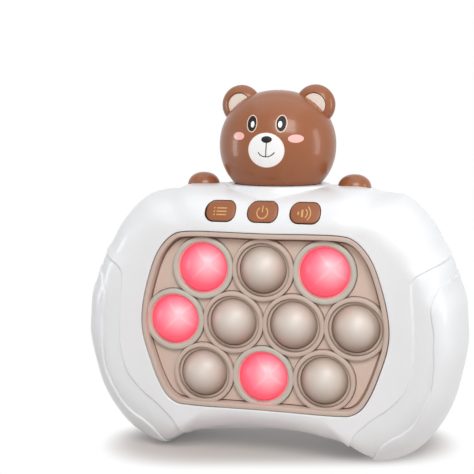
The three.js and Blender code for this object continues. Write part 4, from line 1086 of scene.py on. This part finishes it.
stage = {
    # the floor colour is darker than white and shows only in the painted shadow patch
    "floorReach": 3000, "floorColour": "CFC6C1", "floorRoughness": 0.6,
    "paintedShadowPlace": (0.0013, 0.0045, 0),  # the painted shadow: a darker floor under the object round its real shadow, in line with the picture
    "paintedShadowSize": (0.084, 0.036, 1), "paintedShadowPowers": (("X", 5), ("Y", 2)),
    "fade": (0.2, 1.05, 0.12),  # where it starts and ends, and how much white is mixed in at its middle, painted light on the shadow
    "worldColour": "EEF6FF", "worldStrength": 0.21,
    "lamps": {  # place and aim in millimetres, size, watts
        "keySoftbox": ((210, -520, 540), (0, 0, 70), (420, 320), 3.5),
        "rightSoftbox": ((430, -40, 170), (0, 0, 110), (100, 280), 0.4),
        "leftSoftbox": ((-430, -120, 130), (0, 0, 110), (80, 200), 0.32),
        "topSoftbox": ((0, 0, 560), (0, 0, 60), (560, 420), 0.5),
    },
}


def lookingRay(tree):  # 1 for a ray from the camera, off a mirror or through glass
    ray = addNode(tree, "LightPath")
    seen = calc(tree, "MAXIMUM", ray["Is Camera Ray"], ray["Is Glossy Ray"])
    return calc(tree, "MAXIMUM", seen, ray["Is Transmission Ray"])


def makeFloor():
    far = stage["floorReach"]
    corners = np.array([(-far, -far, 0), (far, -far, 0), (far, far, 0), (-far, far, 0)])
    floor = newObject("floor", corners - (0, midDepth, 0), [(0, 1, 2, 3)])
    pale = bpy.data.materials.new("floorPale")
    pale.use_nodes = True
    tree = pale.node_tree
    shader = tree.nodes["Principled BSDF"]
    colour, roughness = pick(stage, "floorColour floorRoughness")
    fill(tree, shader, {"Base Color": (*linear(colour), 1), "Roughness": roughness})
    patch = addNode(tree, "Mapping", {
        "Vector": addNode(tree, "TexCoord")["Object"],
        "Location": stage["paintedShadowPlace"],
        "Rotation": (0, 0, radians(camera["azimuth"])),
        "Scale": stage["paintedShadowSize"],
    }, vector_type="TEXTURE")["Vector"]
    parts = addNode(tree, "SeparateXYZ", {"Vector": patch})
    away = [calc(tree, "POWER", calc(tree, "ABSOLUTE", parts[axis]), power)
        for axis, power in stage["paintedShadowPowers"]]
    start, end, least = stage["fade"]
    fade = {"Value": calc(tree, "ADD", *away), "From Min": start, "From Max": end, "To Min": least}
    shaded = addNode(tree, "MapRange", fade, interpolation_type="SMOOTHSTEP")["Result"]
    seen = calc(tree, "MULTIPLY", shaded, lookingRay(tree))
    seenAs(tree, "Material Output", shader.outputs["BSDF"], addNode(tree, "Emission")["Emission"], seen)
    floor.data.materials.append(pale)


def makeStage():
    makeFloor()
    scene = bpy.context.scene
    scene.world = bpy.data.worlds.new("studio")
    scene.world.use_nodes = True
    tree = scene.world.node_tree
    light = tree.nodes["Background"]
    fill(tree, light, {"Color": (*linear(stage["worldColour"]), 1), "Strength": stage["worldStrength"]})
    white = addNode(tree, "Background", {"Color": (1, 1, 1, 1), "Strength": 1})["Background"]
    seenAs(tree, "World Output", light.outputs["Background"], white, lookingRay(tree))

    for name, (place, aim, size, watts) in stage["lamps"].items():
        lamp = bpy.data.lights.new(name, "AREA")
        lamp.shape = "RECTANGLE"
        lamp.size, lamp.size_y = size[0] / 1000, size[1] / 1000
        lamp.energy = watts
        made = bpy.data.objects.new(name, lamp)
        made.location = Vector(place) / 1000
        made.rotation_euler = (Vector(aim) - Vector(place)).to_track_quat("-Z", "Y").to_euler()
        scene.collection.objects.link(made)
    scene.view_settings.view_transform = "Standard"
    print("stage set")


camera = {
    "lens": 79.2, "azimuth": 15.965, "elevation": 8.13, "roll": -0.382, "distance": 451.85,
    "target": (-11.871, -20.3, 99.487),
}


def makeCamera():
    data = bpy.data.cameras.new("camera")
    data.lens = camera["lens"]
    data.sensor_width = 36
    data.clip_start = 0.01
    made = bpy.data.objects.new("camera", data)
    azimuth, elevation, roll = pick(camera, "azimuth elevation roll")
    place = Matrix.Translation(Vector(camera["target"]) / 1000)
    for angle, axis in ((azimuth, "Z"), (90 - elevation, "X"), (roll, "Z")):
        place @= Matrix.Rotation(radians(angle), 4, axis)
    made.matrix_world = place @ Matrix.Translation((0, 0, camera["distance"] / 1000))
    bpy.context.scene.collection.objects.link(made)
    bpy.context.scene.camera = made
    print("camera placed")


makeCamera()
makeStage()
makeCasing()
makeCollar()
makeTray()
makeRings()
makeBubbles()
makeButtons()
makeHead()
makeEars()
makePaws()
makeDoor()
makeBay()
makeCells()
for number, place in enumerate(battery["screws"]):
    makeScrew(f"caseScrew{number + 1}", f"case_screw_{number + 1}", place, "caseShank", "casing")
makeScrew("doorScrew", "battery_door_screw", (0, battery["screwHeight"]), "doorShank", "door")
dressInside()
